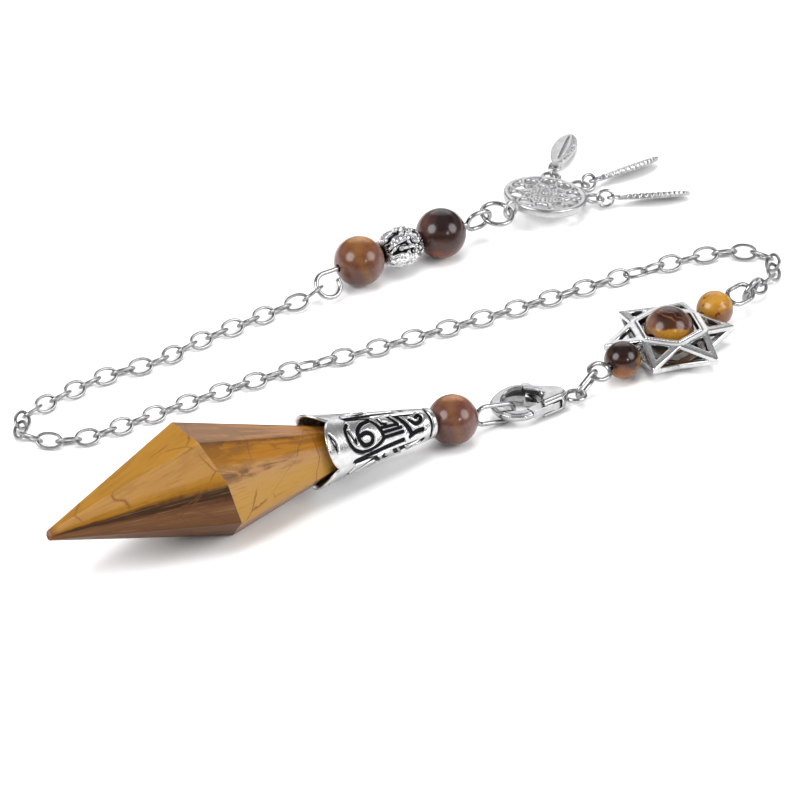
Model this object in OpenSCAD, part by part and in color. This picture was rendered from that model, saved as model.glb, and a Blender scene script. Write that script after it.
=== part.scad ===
// Pendulum pendant on a cable chain, laid flat in an open loop.
// Millimetres, +Z up. The origin is the middle of the footprint on the resting plane.

/* [Stone] */
// Width of the stone across its girdle corners
stone_w = 15.3; // [13:0.1:18]
// Length from the girdle to the cut tip
tip_len = 22; // [18:0.1:28]
// Length from the girdle to the cap's rim
neck_len = 19.2; // [16:0.1:21]
// Number of facets on each side of the girdle
stone_sides = 8; // [8:2:12]
// Width of the small table cut at the tip
table_w = 1.4; // [0.6:0.1:1.6]
// How far the girdle leans along the stone, as a share of its radius
girdle_lean = 0.45; // [0:0.05:0.5]
// Drop of the tip below the stone's own axis
tip_drop = 3; // [0:0.1:4]

/* [Cap] */
// Outer width of the cap at its rim band
cap_rim_w = 8; // [7:0.1:10]
// Outer width of the cap at its small end
cap_end_w = 3.7; // [3.2:0.1:4.6]
// Length of the cap from the rim band to the small end
cap_len = 14.4; // [12:0.1:16]
// Thickness of the cap's wall
cap_wall = 0.45; // [0.35:0.05:0.6]
// Height of the raised ornament
relief_h = 0.28; // [0.2:0.02:0.4]
// Length of the rounded petals past the rim band
petal_len = 3.7; // [2:0.1:4]
// How far the ends of the petals stand off the stone
petal_flare = 0.15; // [0.1:0.05:0.5]

/* [Beads] */
// Diameter of the large round beads
bead_d = 6.3; // [5.6:0.1:7]
// Diameter of the small round beads beside the star
small_d = 4.6; // [4:0.1:5.2]
// Diameter of the bead inside the star
star_bead_d = 6.2; // [5.6:0.1:6.4]
// Diameter of the hole drilled through each bead
bead_hole = 1; // [0.9:0.05:1.2]
// Length of the carved silver bead
nugget_len = 5.7; // [5:0.1:6.5]
// Width of the carved silver bead
nugget_w = 5.3; // [4.8:0.1:6]

/* [Star] */
// Distance from the star's centre to its points
star_r = 8.3; // [7.6:0.1:9]
// Height of each star plate above the plane of the points
star_rise = 1.35; // [1.2:0.05:1.8]
// Thickness of the star's plates
star_t = 0.6; // [0.5:0.05:0.8]
// Width of the star's bars
star_bar = 0.8; // [0.6:0.05:1]

/* [Clasp] */
// Length of the clasp from its nose to the back of its base
clasp_len = 9.6; // [9:0.1:10.5]
// Width of the clasp at its hook
clasp_w = 6.5; // [6:0.1:7.2]
// Thickness of the hook
hook_t = 1.2; // [1:0.1:1.4]
// Thickness of the clasp at its pivot
base_t = 2.6; // [2.2:0.1:2.8]
// Thickness of the lever
lever_t = 1; // [0.8:0.05:1.1]
// Diameter of the pivot pin
pivot_d = 0.8; // [0.6:0.05:1]

/* [Wire and links] */
// Wire of the pins and their eyes
pin_wire = 0.6; // [0.5:0.05:0.7]
// Wire of the chain
chain_wire = 0.42; // [0.36:0.02:0.46]
// Length of a chain link
link_len = 3.4; // [3.2:0.05:3.6]
// Width of a chain link
link_w = 2.3; // [2.1:0.05:2.5]
// Wire of the jump rings
ring_wire = 0.6; // [0.5:0.05:0.7]
// Outer width of the ring that holds the charm
charm_ring_w = 4.4; // [4:0.1:5.4]
// Outer width of the ring at the star's end
star_ring_w = 3.5; // [3.2:0.1:4]

/* [Charm] */
// Diameter of the woven charm
charm_d = 10.4; // [9:0.1:12]
// Thickness of the charm's rim
charm_t = 1.1; // [0.9:0.1:1.5]
// Number of openings in each row of the web
web_count = 10; // [8:1:12]
// Length of a feather
feather_len = 9.2; // [7:0.1:10]
// Width of a feather
feather_w = 3; // [2.4:0.1:3.6]
// Thickness of a feather
feather_t = 0.8; // [0.6:0.1:1.1]

/* [Hidden] */

// Clearances
rest = 0.05;
play = 0.12;
ring_play = 0.2;
slip = 0.15;
bead_gap = 0.1;
hook_gap = 0.4;
pin_slip = 0.05;
round_fn = 48;

// Chosen points of the chain's route: x, y, share of the end's height and twist
ROUTE = [
    [-9.8, 13.55, 1, 0],
    [-11.7, 12.05, 0.3, 0],
    [-14.9, 10.25, 0, 0],
    [-19.9, 6.35, 0, 0],
    [-24.9, 2.45, 0, 0],
    [-29.9, -2.35, 0, 0],
    [-35.9, -5.55, 0, 0],
    [-40.9, -9.95, 0, 0],
    [-44.9, -13.95, 0, 0],
    [-46.4, -17.15, 0, 0],
    [-45.5, -19.85, 0, 0],
    [-41.9, -20.95, 0, 0],
    [-37.9, -20.05, 0, 0],
    [-30.9, -15.35, 0, 0],
    [-22.4, -9.65, 0, 0],
    [-14.4, -4.85, 0, 0],
    [-7.9, -1.55, 0, 90],
    [0.6, 2.85, 0, 90],
    [13.1, 9.75, 0, 90],
    [25.6, 17.05, 0, 90],
    [32.1, 20.65, 0, 180],
    [37.6, 23.25, 0, 180],
    [42.1, 24.15, 0, 180],
    [45.5, 22.85, 0, 180],
    [46.4, 20.45, 0, 180],
    [45.5, 17.05, 0.2, 180],
    [43.6, 13.75, 1, 180]];
ROUTE_STEPS = 6;

// Directions of the pieces where they lie, in degrees from +X
strand_az = 33.8;
star_ring_az = 248;
star_az = 226.5;
clasp_link_az = 232;
clasp_az = 197.5;
hook_az = 243;
pendulum_az = 214.3;
charm_ring_az = 34;
charm_az = 46.5;
feather_az = [78, 37, 13];
feather_roll = [0, -25, -25];

function dir(az, el = 0) = [cos(el) * cos(az), cos(el) * sin(az), sin(el)];
function flat(p, z) = [p[0], p[1], z];
// Distance from a ring's centre to where it meets the next ring
function reach(len, wire) = len / 2 - wire - ring_play / 2;
// Direction in a plane that falls by tilt along az, turned by fan within that plane
function fan_dir(az, tilt, fan) = cos(fan) * dir(az, -tilt) + sin(fan) * dir(az + 90);

module along(p, az, el = 0, roll = 0) {
    translate(p)
        rotate([0, -el, az])
            rotate([roll, 0, 0])
                children();
}

// Half of a ring, open toward the left
module half_ring(bend, wire) {
    rotate([0, 0, -90])
        rotate_extrude(angle = 180, $fn = round_fn)
            translate([bend, 0])
                circle(d = wire, $fn = 24);
}

// Closed ring of round wire, long along X, lying in the XY plane
module oval_ring(len, width, wire) {
    bend = (width - wire) / 2;
    run = (len - width) / 2;
    if (run < 0.01) {
        rotate_extrude($fn = round_fn)
            translate([bend, 0])
                circle(d = wire, $fn = 24);
    } else {
        for (turn = [0, 180])
            rotate([0, 0, turn]) {
                translate([run, 0, 0])
                    half_ring(bend, wire);
                translate([-run, bend, 0])
                    rotate([0, 90, 0])
                        cylinder(d = wire, h = 2 * run, $fn = 24);
            }
    }
}

module rod(d, len) {
    rotate([0, 90, 0])
        cylinder(d = d, h = len, $fn = 24);
}

// Two discs joined by their tangents
module taper(p, r1, q, r2) {
    gap = norm(q - p);
    turn = atan2(q[1] - p[1], q[0] - p[0]);
    lean = acos((r1 - r2) / gap);
    translate(p)
        circle(r = r1, $fn = round_fn);
    translate(q)
        circle(r = r2, $fn = round_fn);
    translate(p)
        rotate(turn)
            polygon([
                [r1 * cos(lean), r1 * sin(lean)],
                [r1 * cos(lean), -r1 * sin(lean)],
                [gap + r2 * cos(lean), -r2 * sin(lean)],
                [gap + r2 * cos(lean), r2 * sin(lean)]]);
}

// Ball turned about its drilled hole, which runs along X
module round_bead(d, hole) {
    rotate([0, 90, 0])
        rotate_extrude($fn = 64)
            difference() {
                circle(d = d, $fn = 64);
                translate([-d, -d])
                    square([d + hole / 2, 2 * d]);
            }
}

// Heights at which the chain lies and at which its two ends are held
link_bend = (link_w - chain_wire) / 2;
link_run = (link_len - link_w) / 2;
link_reach = link_len / 2 - chain_wire - play / 2;
lie_z = link_bend * sin(45) + chain_wire / 2 + 2 * rest;
side_loop_w = 3.8;
side_bend = (side_loop_w - pin_wire) / 2;
strand_z = bead_d / 2 + rest;
start_z = strand_z - side_bend * sin(45);
bead_sag = (bead_hole - pin_wire) / 2 - bead_gap;
star_lift = 0.3;
star_pin_z = small_d / 2 + rest + bead_sag + star_lift;
end_z = (lie_z + star_pin_z) / 2;
LINK_SIDES = 12;
WIRE_SIDES = 5;

function blend(a, b, c, d, t) =
    0.5 * (2 * b + (c - a) * t + (2 * a - 5 * b + 4 * c - d) * t * t
           + (3 * b - a - 3 * c + d) * t * t * t);
last = len(ROUTE) - 1;
lifted = [
    for (i = [0 : last])
        let (row = ROUTE[i],
             end = i < last / 2 ? start_z : end_z)
        [row[0], row[1], lie_z + row[2] * (end - lie_z), row[3]]];
smooth = [
    for (i = [0 : last - 1])
        for (k = [0 : ROUTE_STEPS - 1])
            blend(lifted[max(i - 1, 0)], lifted[i], lifted[i + 1], lifted[min(i + 2, last)],
                  k / ROUTE_STEPS),
    lifted[last]];
function spot_of(row) = [row[0], row[1], row[2]];
function step_len(i) = i < len(smooth) - 1 ? norm(spot_of(smooth[i + 1]) - spot_of(smooth[i])) : 0;
travel = [for (i = 0, s = 0; i < len(smooth); s = s + step_len(i), i = i + 1) s];
route_len = travel[len(travel) - 1];
function row_at(s) =
    let (i = max([for (k = [0 : len(smooth) - 2]) if (travel[k] <= s + 0.0001) k]),
         t = (s - travel[i]) / (travel[i + 1] - travel[i]))
    smooth[i] * (1 - t) + smooth[i + 1] * t;
link_count = ceil(route_len / (2 * link_reach));
joints = [for (i = [0 : link_count]) row_at(min(i / link_count, 1) * route_len)];
function joint_at(i) = spot_of(joints[i]);

module chain_link() {
    spots = [for (k = [0 : LINK_SIDES - 1])
        let (a = (k + 0.5) * 360 / LINK_SIDES,
             shift = cos(a) > 0 ? link_run : -link_run)
        for (j = [0 : WIRE_SIDES - 1])
            let (b = j * 360 / WIRE_SIDES,
                 r = link_bend + chain_wire / 2 * cos(b))
            [shift + r * cos(a), r * sin(a), chain_wire / 2 * sin(b)]];
    function spot(k, j) = (k % LINK_SIDES) * WIRE_SIDES + j % WIRE_SIDES;
    walls = [for (k = [0 : LINK_SIDES - 1]) for (j = [0 : WIRE_SIDES - 1]) for (half = [0, 1])
        half == 0 ? [spot(k, j), spot(k, j + 1), spot(k + 1, j)]
                  : [spot(k + 1, j), spot(k, j + 1), spot(k + 1, j + 1)]];
    polyhedron(points = spots, faces = walls);
}

module chain() {
    color("silver")
        for (i = [0 : link_count - 1]) {
            a = joint_at(i);
            b = joint_at(i + 1);
            step = b - a;
            twist = (joints[i][3] + joints[i + 1][3]) / 2;
            along((a + b) / 2, atan2(step[1], step[0]), asin(step[2] / norm(step)),
                  45 + 90 * (i % 2) + twist)
                chain_link();
        }
}

// Bead strand from the chain's first link to the charm. The side loop hangs below the pin
side_roll = 135;
side_start = 165;
side_turn = 285;
side_drop = side_bend * (sin(side_roll) * dir(strand_az - 90) + [0, 0, cos(side_roll)]);
side_neck = side_loop_w / 2 + pin_wire / 2;
strand_start = joint_at(0) + reach(side_loop_w, pin_wire) * dir(strand_az) - side_drop;
bead_1_at = strand_start + (side_neck + bead_d / 2) * dir(strand_az);
carved_at = bead_1_at + (bead_d / 2 + play / 2 + nugget_len / 2) * dir(strand_az);
bead_2_at = carved_at + (nugget_len / 2 + play / 2 + bead_d / 2) * dir(strand_az);
far_eye_len = 3.9;
far_eye_w = 3.2;
far_neck = 0.5;
far_roll = 105;
far_eye_at = bead_2_at + (bead_d / 2 + far_neck + far_eye_len / 2) * dir(strand_az);

module side_loop() {
    translate([0, -side_bend, 0])
        rotate([0, 0, side_start])
            rotate_extrude(angle = side_turn, $fn = round_fn)
                translate([side_bend, 0])
                    circle(d = pin_wire, $fn = 24);
}

module strand_pin() {
    color("silver") {
        along(strand_start, strand_az + 180, 0, side_roll)
            side_loop();
        along(strand_start, strand_az)
            rod(pin_wire, norm(far_eye_at - strand_start) - far_eye_len / 2 + pin_wire / 2);
        along(far_eye_at, strand_az, 0, far_roll)
            oval_ring(far_eye_len, far_eye_w, pin_wire);
    }
}

module strand_bead_1() {
    color("saddlebrown")
        along(bead_1_at, strand_az)
            round_bead(bead_d, bead_hole);
}

module strand_bead_2() {
    color([0.25, 0.13, 0.09])
        along(bead_2_at, strand_az)
            round_bead(bead_d, bead_hole);
}

// Barrel with rows of raised cast grains round it
module carved_bead() {
    end_r = nugget_w * 0.3;
    core_r = nugget_w / 2 - relief_h;
    grain_r = nugget_w * 0.16;
    color("silver")
        along(carved_at, strand_az)
            difference() {
                union() {
                    rotate([0, 90, 0])
                        rotate_extrude($fn = round_fn)
                            polygon([
                                [0, -nugget_len / 2],
                                [end_r, -nugget_len / 2],
                                [core_r * 0.86, -nugget_len * 0.36],
                                [core_r, -nugget_len * 0.14],
                                [core_r, nugget_len * 0.14],
                                [core_r * 0.86, nugget_len * 0.36],
                                [end_r, nugget_len / 2],
                                [0, nugget_len / 2]]);
                    for (row = [-1, 0, 1])
                        for (k = [0 : 7])
                            rotate([(k + row / 2) * 45, 0, 0])
                                translate([row * nugget_len * 0.27, 0,
                                           core_r + relief_h - grain_r - abs(row) * nugget_w * 0.05])
                                    sphere(r = grain_r, $fn = 20);
                }
                translate([-nugget_len, 0, 0])
                    rod(bead_hole, 2 * nugget_len);
            }
}

// Charm with its ring and feathers. It leans on the rings of the feathers, its near side up
charm_loop_w = 2.6;
charm_loop_wire = 0.5;
feather_ring_w = 2.4;
feather_ring_wire = 0.4;
feather_ring_roll = 70;
feather_ring_z = (feather_ring_w - feather_ring_wire) / 2 * sin(feather_ring_roll)
    + feather_ring_wire / 2 + rest;
charm_reach = reach(charm_loop_w, charm_loop_wire);
rim_reach = charm_d / 2 + charm_loop_w / 2 - charm_loop_wire / 2;
charm_ring_at = far_eye_at + reach(far_eye_len, pin_wire) * dir(strand_az)
    + reach(charm_ring_w, ring_wire) * dir(charm_ring_az);
charm_joint = charm_ring_at + reach(charm_ring_w, ring_wire) * dir(charm_ring_az);
charm_tilt = asin((strand_z - feather_ring_z) / (2 * (charm_reach + rim_reach)));
charm_at = charm_joint + (charm_reach + rim_reach) * dir(charm_az, -charm_tilt);
FEATHER_FAN = [35.5, -2, -39.5];
feather_eye_w = 1.7;
feather_eye_wire = 0.45;
function feather_joint(i) =
    charm_at + (charm_reach + rim_reach) * fan_dir(charm_az, charm_tilt, FEATHER_FAN[i]);
function feather_ring_at(i) =
    feather_joint(i) + reach(feather_ring_w, feather_ring_wire) * dir(feather_az[i]);
// A flat feather touches the floor with its tip and a leaning one with the edge at its middle
function feather_low(i) =
    feather_w / 2 * abs(sin(feather_roll[i])) + feather_t / 2 * cos(feather_roll[i]) + rest;
function feather_pitch(i) =
    asin((feather_joint(i)[2] - feather_low(i))
         / (feather_len * (feather_roll[i] == 0 ? 1 : 0.5) + feather_eye_w));
function feather_eye_at(i) =
    feather_ring_at(i) + reach(feather_ring_w, feather_ring_wire) * dir(feather_az[i])
    + reach(feather_eye_w, feather_eye_wire) * dir(feather_az[i], -feather_pitch(i));

module charm_ring() {
    color("silver")
        along(charm_ring_at, charm_ring_az, 0, 15)
            oval_ring(charm_ring_w, charm_ring_w, ring_wire);
}

// Rows of the web's openings, as shares of the charm's diameter: distance from the middle,
// radius, and turn as a share of a step. A single opening is in the middle
WEB = [[0.345, 0.082, 0], [0.228, 0.05, 0.5], [0.145, 0.029, 0]];
WEB_EYE = 0.06;
charm_rim_w = 0.78;
web_t = 0.66;

module charm() {
    color("silver")
        along(charm_at, charm_az, -charm_tilt) {
            difference() {
                translate([0, 0, -charm_t / 2])
                    cylinder(d = charm_d, h = charm_t, $fn = 96);
                for (side = [-1, 1])
                    translate([0, 0, side * (web_t + charm_t) / 2 - charm_t / 2])
                        cylinder(d = charm_d - 2 * charm_rim_w, h = charm_t, $fn = 96);
                for (row = WEB)
                    for (k = [0 : web_count - 1])
                        rotate([0, 0, (k + row[2]) * 360 / web_count])
                            translate([row[0] * charm_d, 0, -charm_t])
                                cylinder(r = row[1] * charm_d, h = 2 * charm_t, $fn = 24);
                translate([0, 0, -charm_t])
                    cylinder(r = WEB_EYE * charm_d, h = 2 * charm_t, $fn = 24);
            }
            for (fan = FEATHER_FAN)
                rotate([0, 0, fan])
                    translate([rim_reach, 0, 0])
                        oval_ring(charm_loop_w, charm_loop_w, charm_loop_wire);
            translate([-rim_reach, 0, 0])
                rotate([90, 0, 0])
                    oval_ring(charm_loop_w, charm_loop_w, charm_loop_wire);
        }
}

module feather_ring(i) {
    color("silver")
        along(feather_ring_at(i), feather_az[i], 0, feather_ring_roll)
            oval_ring(feather_ring_w, feather_ring_w, feather_ring_wire);
}

module feather_ring_1() { feather_ring(0); }
module feather_ring_2() { feather_ring(1); }
module feather_ring_3() { feather_ring(2); }

// Half width of the vane along the feather, with small notches between the barbs
BARBS = 9;
function vane(t) = feather_w / 2 * pow(sin(180 * pow(t, 0.9)), 0.5);
function vane_edge(side) = [
    for (k = [1 : 2 * BARBS - 1])
        let (t = k / (2 * BARBS))
        [feather_len * t, side * vane(t) * (k % 2 == 0 ? 0.84 : 1)]];
function reverse(list) = [for (i = [len(list) - 1 : -1 : 0]) list[i]];

module feather(i) {
    start = feather_eye_w / 2 - feather_eye_wire / 2;
    quill_d = feather_t * 0.7;
    color("silver")
        along(feather_eye_at(i), feather_az[i], -feather_pitch(i), feather_roll[i]) {
            translate([start, 0, -feather_t / 2])
                linear_extrude(feather_t * 0.75)
                    polygon(concat([[0, 0]], vane_edge(-1), [[feather_len, 0]], reverse(vane_edge(1))));
            translate([start, 0, 0])
                rod(quill_d, feather_len * 0.93);
            oval_ring(feather_eye_w, feather_eye_w, feather_eye_wire);
        }
}

module feather_1() { feather(0); }
module feather_2() { feather(1); }
module feather_3() { feather(2); }

// Star strand from the chain's last link to the clasp
star_ring_rise = asin((star_pin_z - end_z) / (2 * reach(star_ring_w, ring_wire)));
star_ring_step = reach(star_ring_w, ring_wire) * dir(star_ring_az, star_ring_rise);
star_ring_at = joint_at(link_count) + star_ring_step;
star_eye_len = 4.4;
star_eye_w = 2.9;
star_eye_at = star_ring_at + star_ring_step + reach(star_eye_len, pin_wire) * dir(star_az);
small_2_at = star_eye_at + (star_eye_len / 2 + play + small_d / 2) * dir(star_az);
star_at = small_2_at + star_r * dir(star_az);
small_1_at = star_at + star_r * dir(star_az);
near_eye_len = 3.4;
near_eye_w = 3;
near_eye_at = small_1_at + (small_d / 2 + play + near_eye_len / 2) * dir(star_az);

module star_pin() {
    color("silver") {
        along(star_eye_at, star_az, 0, -30)
            oval_ring(star_eye_len, star_eye_w, pin_wire);
        along(star_eye_at + (star_eye_len - pin_wire) / 2 * dir(star_az), star_az)
            rod(pin_wire, norm(near_eye_at - star_eye_at) - (star_eye_len + near_eye_len) / 2 + pin_wire);
        along(near_eye_at, star_az, 0, -25)
            oval_ring(near_eye_len, near_eye_w, pin_wire);
    }
}

module small_bead_1() {
    color([0.3, 0.16, 0.08])
        along(small_1_at - [0, 0, bead_sag], star_az)
            round_bead(small_d, bead_hole);
}

module small_bead_2() {
    color("goldenrod")
        along(small_2_at - [0, 0, bead_sag], star_az)
            round_bead(small_d, bead_hole);
}

module star_bead() {
    color("sienna")
        along(flat(star_at, star_bead_d / 2 + rest), star_az)
            round_bead(star_bead_d, 1.6 * bead_hole);
}

module ngon(r, sides = 6, turn = 0) {
    polygon([for (k = [0 : sides - 1]) r * [cos(turn + k * 360 / sides), sin(turn + k * 360 / sides)]]);
}

// The star hangs on the pin, which passes below its upper plate
star_sag = star_rise - star_t / 2 - pin_wire / 2 - slip;

// One pierced plate: a hexagon frame with six pointed flaps that slope to the plane of the points
module star_plate() {
    side_at = star_r / 2;
    corner = star_r / sqrt(3);
    slope = atan(star_rise / side_at);
    flap_len = norm([side_at, star_rise]);
    hole_r = corner - star_bar / cos(30);
    bezel = star_bar * 0.4;
    translate([0, 0, star_rise - star_t / 2])
        linear_extrude(star_t)
            difference() {
                ngon(corner, 6, 30);
                ngon(hole_r, 6, 30);
            }
    translate([0, 0, star_rise])
        linear_extrude(star_t / 2 + relief_h * 0.7)
            difference() {
                ngon(hole_r + bezel, 6, 30);
                ngon(hole_r, 6, 30);
            }
    for (k = [0 : 5])
        rotate([0, 0, 60 * k])
            translate([side_at, 0, star_rise])
                rotate([0, slope, 0])
                    translate([0, 0, -star_t / 2])
                        linear_extrude(star_t)
                            difference() {
                                polygon([[0, -corner / 2], [flap_len, 0], [0, corner / 2]]);
                                translate([star_bar * 0.5, 0])
                                    polygon([
                                        [0, -corner / 2 + star_bar * 1.45],
                                        [flap_len - star_bar * 2.5, 0],
                                        [0, corner / 2 - star_bar * 1.45]]);
                            }
}

module star_frame() {
    color("lightgray")
        translate(star_at - [0, 0, star_sag])
            rotate([0, 0, star_az - 30])
                for (face = [0, 180])
                    rotate([face, 0, 0])
                        star_plate();
}

module star_ring() {
    color("silver")
        along(star_ring_at, star_ring_az, star_ring_rise, 65)
            oval_ring(star_ring_w, star_ring_w, ring_wire);
}

// Clasp. The eye of the pendulum's pin runs round its nose and rises to the bead
eye_len = 6.2;
eye_w = hook_t + 2 * pin_wire + 4 * slip;
eye_run = (eye_len - eye_w) / 2;
bead_reach = eye_len / 2 + play + bead_d / 2;
pin_rise = asin((bead_d - eye_w) / 2 / (eye_run + bead_reach));
eye_z = eye_w / 2 + eye_run * sin(pin_rise) + rest;
nose_band = 1.5;
side_band = 1.3;
clasp_z = eye_z - ((eye_len - pin_wire - nose_band) / 2 - hook_gap) * sin(pin_rise);
clasp_ring_w = 3;
clasp_ring_wire = 0.62;
clasp_link_len = 4.5;
clasp_link_w = 2.6;
clasp_link_wire = 0.55;
clasp_link_roll = 75;
link_drop = asin((star_pin_z - clasp_z) / (2 * reach(clasp_link_len, clasp_link_wire)));
link_step = reach(clasp_link_len, clasp_link_wire) * dir(clasp_link_az, -link_drop);
clasp_link_at = near_eye_at + reach(near_eye_len, pin_wire) * dir(star_az) + link_step;
clasp_ring_at = clasp_link_at + link_step + reach(clasp_ring_w, clasp_ring_wire) * dir(clasp_link_az);
nose_r = clasp_w / 2;
inner_r = nose_r - side_band;
inner_at = nose_band + inner_r;
base_r = 1.5;
base_at = clasp_len - base_r;
ring_u = clasp_len + clasp_ring_w / 2 - clasp_ring_wire / 2;
nose_at = clasp_ring_at + ring_u * dir(clasp_az);
// The clasp's own frame: u from the nose to the ring, v to its left
pivot_shift = 0.6;
pivot = [base_at - pivot_shift, -pivot_shift];
pivot_bite = 0.2;
hub_r = 1.2;
gate_len = 2.5;
gate_r = hub_r + gate_len;
lever_slip = 0.1;
slot_t = lever_t + 2 * lever_slip;
throat_r = 1;
throat_gap = 0.9;
cheek_u = 4.65;
window_u = 4.9;
gate_split = -0.5;
arm_r = 0.7;
nub_r = 0.55;
nub_rise = 0.35;
nub = [window_u + nub_r + lever_slip, nose_r + nub_rise];
// Insets of the stepped edges and the height that the outer step lacks
hook_steps = [0, 0.2];
cheek_steps = [0.1, 0.35];
step_t = 0.5;

module clasp_outline(inset = 0) {
    taper([nose_r, 0], nose_r - inset, [base_at, 0], base_r - inset);
}

module clasp_opening(grow = 0) {
    taper([inner_at, 0], inner_r + grow, [pivot[0] - hub_r - throat_gap, 0], throat_r + grow);
}

module gate_area(gap) {
    intersection() {
        translate(pivot)
            circle(r = gate_r + gap, $fn = 96);
        translate([-clasp_len, -clasp_len + gate_split + gap])
            square([clasp_len + pivot[0] + gap - slip, clasp_len]);
    }
}

module slab(t) {
    translate([0, 0, -t / 2])
        linear_extrude(t)
            children();
}

module in_clasp() {
    along(nose_at, clasp_az + 180)
        children();
}

module clasp_body() {
    color("gainsboro")
        in_clasp() {
            difference() {
                union() {
                    for (layer = [[hook_steps[0], hook_t - step_t], [hook_steps[1], hook_t]])
                        slab(layer[1])
                            difference() {
                                clasp_outline(layer[0]);
                                clasp_opening(layer[0]);
                                gate_area(slip);
                            }
                    for (layer = [[cheek_steps[0], base_t - step_t], [cheek_steps[1], base_t]])
                        slab(layer[1])
                            difference() {
                                intersection() {
                                    clasp_outline(layer[0]);
                                    translate([cheek_u, -clasp_w])
                                        square([clasp_len, 2 * clasp_w]);
                                }
                                clasp_opening();
                                intersection() {
                                    gate_area(slip);
                                    translate([0, -clasp_w])
                                        square([pivot[0] - hub_r - slip, 2 * clasp_w]);
                                }
                            }
                }
                slab(slot_t) {
                    translate([window_u, -clasp_w])
                        square([pivot[0] + hub_r - window_u, 2 * clasp_w]);
                    translate(pivot)
                        circle(r = hub_r + slip, $fn = round_fn);
                }
            }
            translate([pivot[0], pivot[1], -slot_t / 2 - pivot_bite])
                cylinder(d = pivot_d, h = slot_t + 2 * pivot_bite, $fn = round_fn);
            translate([ring_u, 0, 0])
                oval_ring(clasp_ring_w, clasp_ring_w, clasp_ring_wire);
        }
}

module clasp_lever() {
    color("gainsboro")
        in_clasp()
            difference() {
                slab(lever_t) {
                    difference() {
                        intersection() {
                            clasp_outline(lever_slip);
                            gate_area(0);
                        }
                        clasp_opening();
                    }
                    translate(pivot)
                        circle(r = hub_r, $fn = round_fn);
                    taper(pivot, arm_r, nub, nub_r);
                }
                translate([pivot[0], pivot[1], -lever_t])
                    cylinder(d = pivot_d + 2 * pin_slip, h = 2 * lever_t, $fn = round_fn);
            }
}

module clasp_link() {
    color("silver")
        along(clasp_link_at, clasp_link_az, -link_drop, clasp_link_roll)
            oval_ring(clasp_link_len, clasp_link_w, clasp_link_wire);
}

// Pendulum: eye pin, bead, cap and stone
eye_end = nose_at - inner_at * dir(clasp_az) + (inner_r - hook_gap - pin_wire / 2) * dir(hook_az);
eye_at = flat(eye_end + (eye_len - pin_wire) / 2 * cos(pin_rise) * dir(pendulum_az), eye_z);
bead_at = eye_at + bead_reach * dir(pendulum_az, pin_rise);
cap_end_at = bead_at + (bead_d / 2 + play) * dir(pendulum_az, pin_rise);

stone_r = stone_w / 2;
stone_span = cap_len + neck_len;
half_side = 180 / stone_sides;
girdle_shift = stone_r * girdle_lean * cos(half_side);
girdle_drop = stone_r * cos(half_side);
STONE_CORNERS = [for (k = [0 : stone_sides - 1])
    let (a = -90 + half_side + k * 2 * half_side)
    [stone_r * girdle_lean * sin(a), stone_r * cos(a), stone_r * sin(a)]];
first_lean = asin((girdle_drop - cap_end_at[2]) / stone_span);
girdle_z = girdle_drop * cos(first_lean) + girdle_shift * sin(first_lean) + rest;
cap_lean = asin((girdle_z - cap_end_at[2]) / stone_span);
// The facets behind the girdle close toward one point, which makes the stone fit the cap's rim
rim_in_r = cap_rim_w / 2 - relief_h - cap_wall - slip;
root_len = (neck_len * stone_r - rim_in_r * girdle_shift) / (stone_r - rim_in_r);
root_slope = stone_r / (root_len - girdle_shift);

// The pendulum's own frame: X runs from the cap's small end to the tip
module in_pendulum() {
    along(cap_end_at, pendulum_az, cap_lean)
        children();
}

module pendulum_pin() {
    color("silver") {
        along(eye_at, pendulum_az, pin_rise, 90) {
            oval_ring(eye_len, eye_w, pin_wire);
            translate([(eye_len - pin_wire) / 2, 0, 0])
                rod(pin_wire, bead_d + 2 * play + pin_wire / 2 + cap_wall);
        }
    }
}

module pendulum_bead() {
    color("saddlebrown")
        along(bead_at, pendulum_az, pin_rise)
            round_bead(bead_d, bead_hole);
}

module stone() {
    tip_cut = table_w * tip_len / stone_w;
    seat = stone_span - cap_len * 0.5;
    apexes = [[tip_len + tip_cut, 0, -tip_drop], [-root_len, 0, 0]];
    walls = [for (k = [0 : stone_sides - 1]) for (side = [0, 1])
        let (next = (k + 1) % stone_sides)
        side == 0 ? [next, k, stone_sides] : [k, next, stone_sides + 1]];
    color("darkgoldenrod")
        in_pendulum()
            translate([stone_span, 0, 0])
                intersection() {
                    polyhedron(points = concat(STONE_CORNERS, apexes), faces = walls);
                    translate([-seat, -stone_w, -stone_w])
                        cube([seat + tip_len, 2 * stone_w, 2 * stone_w]);
                }
}

// Raised motifs of one panel, drawn with X along the cap and Y round it
module cap_panel() {
    swirl_at = cap_len * 0.8;
    swirl_r = cap_rim_w * 0.185;
    line = relief_h * 1.4;
    translate([swirl_at, 0]) {
        difference() {
            circle(r = swirl_r, $fn = round_fn);
            circle(r = swirl_r - line, $fn = round_fn);
            translate([-swirl_r * 0.3, -swirl_r])
                rotate(-35)
                    square([swirl_r * 0.5, swirl_r]);
        }
        translate([-swirl_r * 0.2, 0])
            circle(r = swirl_r * 0.38, $fn = round_fn);
    }
    fret_at = cap_len * 0.53;
    fret = cap_rim_w * 0.12;
    for (bar = [[-1, -1, 2, 0], [-1, 0.75, 2, 0], [-1, -1, 0, 2], [0, -0.2, 0, 1], [0, -0.2, 0.9, 0]])
        translate([fret_at + bar[0] * fret, bar[1] * fret])
            square([bar[2] * fret + line, bar[3] * fret + line]);
    translate([cap_len * 0.21, 0])
        circle(r = cap_end_w * 0.17, $fn = round_fn);
}

ornament_turn = 36;
pin_hole = 1.2;
rim_band = 0.8;
lip_len = 0.8;
end_t = 1.2;
rib_w = 0.35;
petal_t = 0.35;
petal_foot = 0.4;
bevel = 0.2;
function cone_r(x) = cap_end_w / 2 + (cap_rim_w - cap_end_w) / 2 * x / cap_len;

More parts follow.
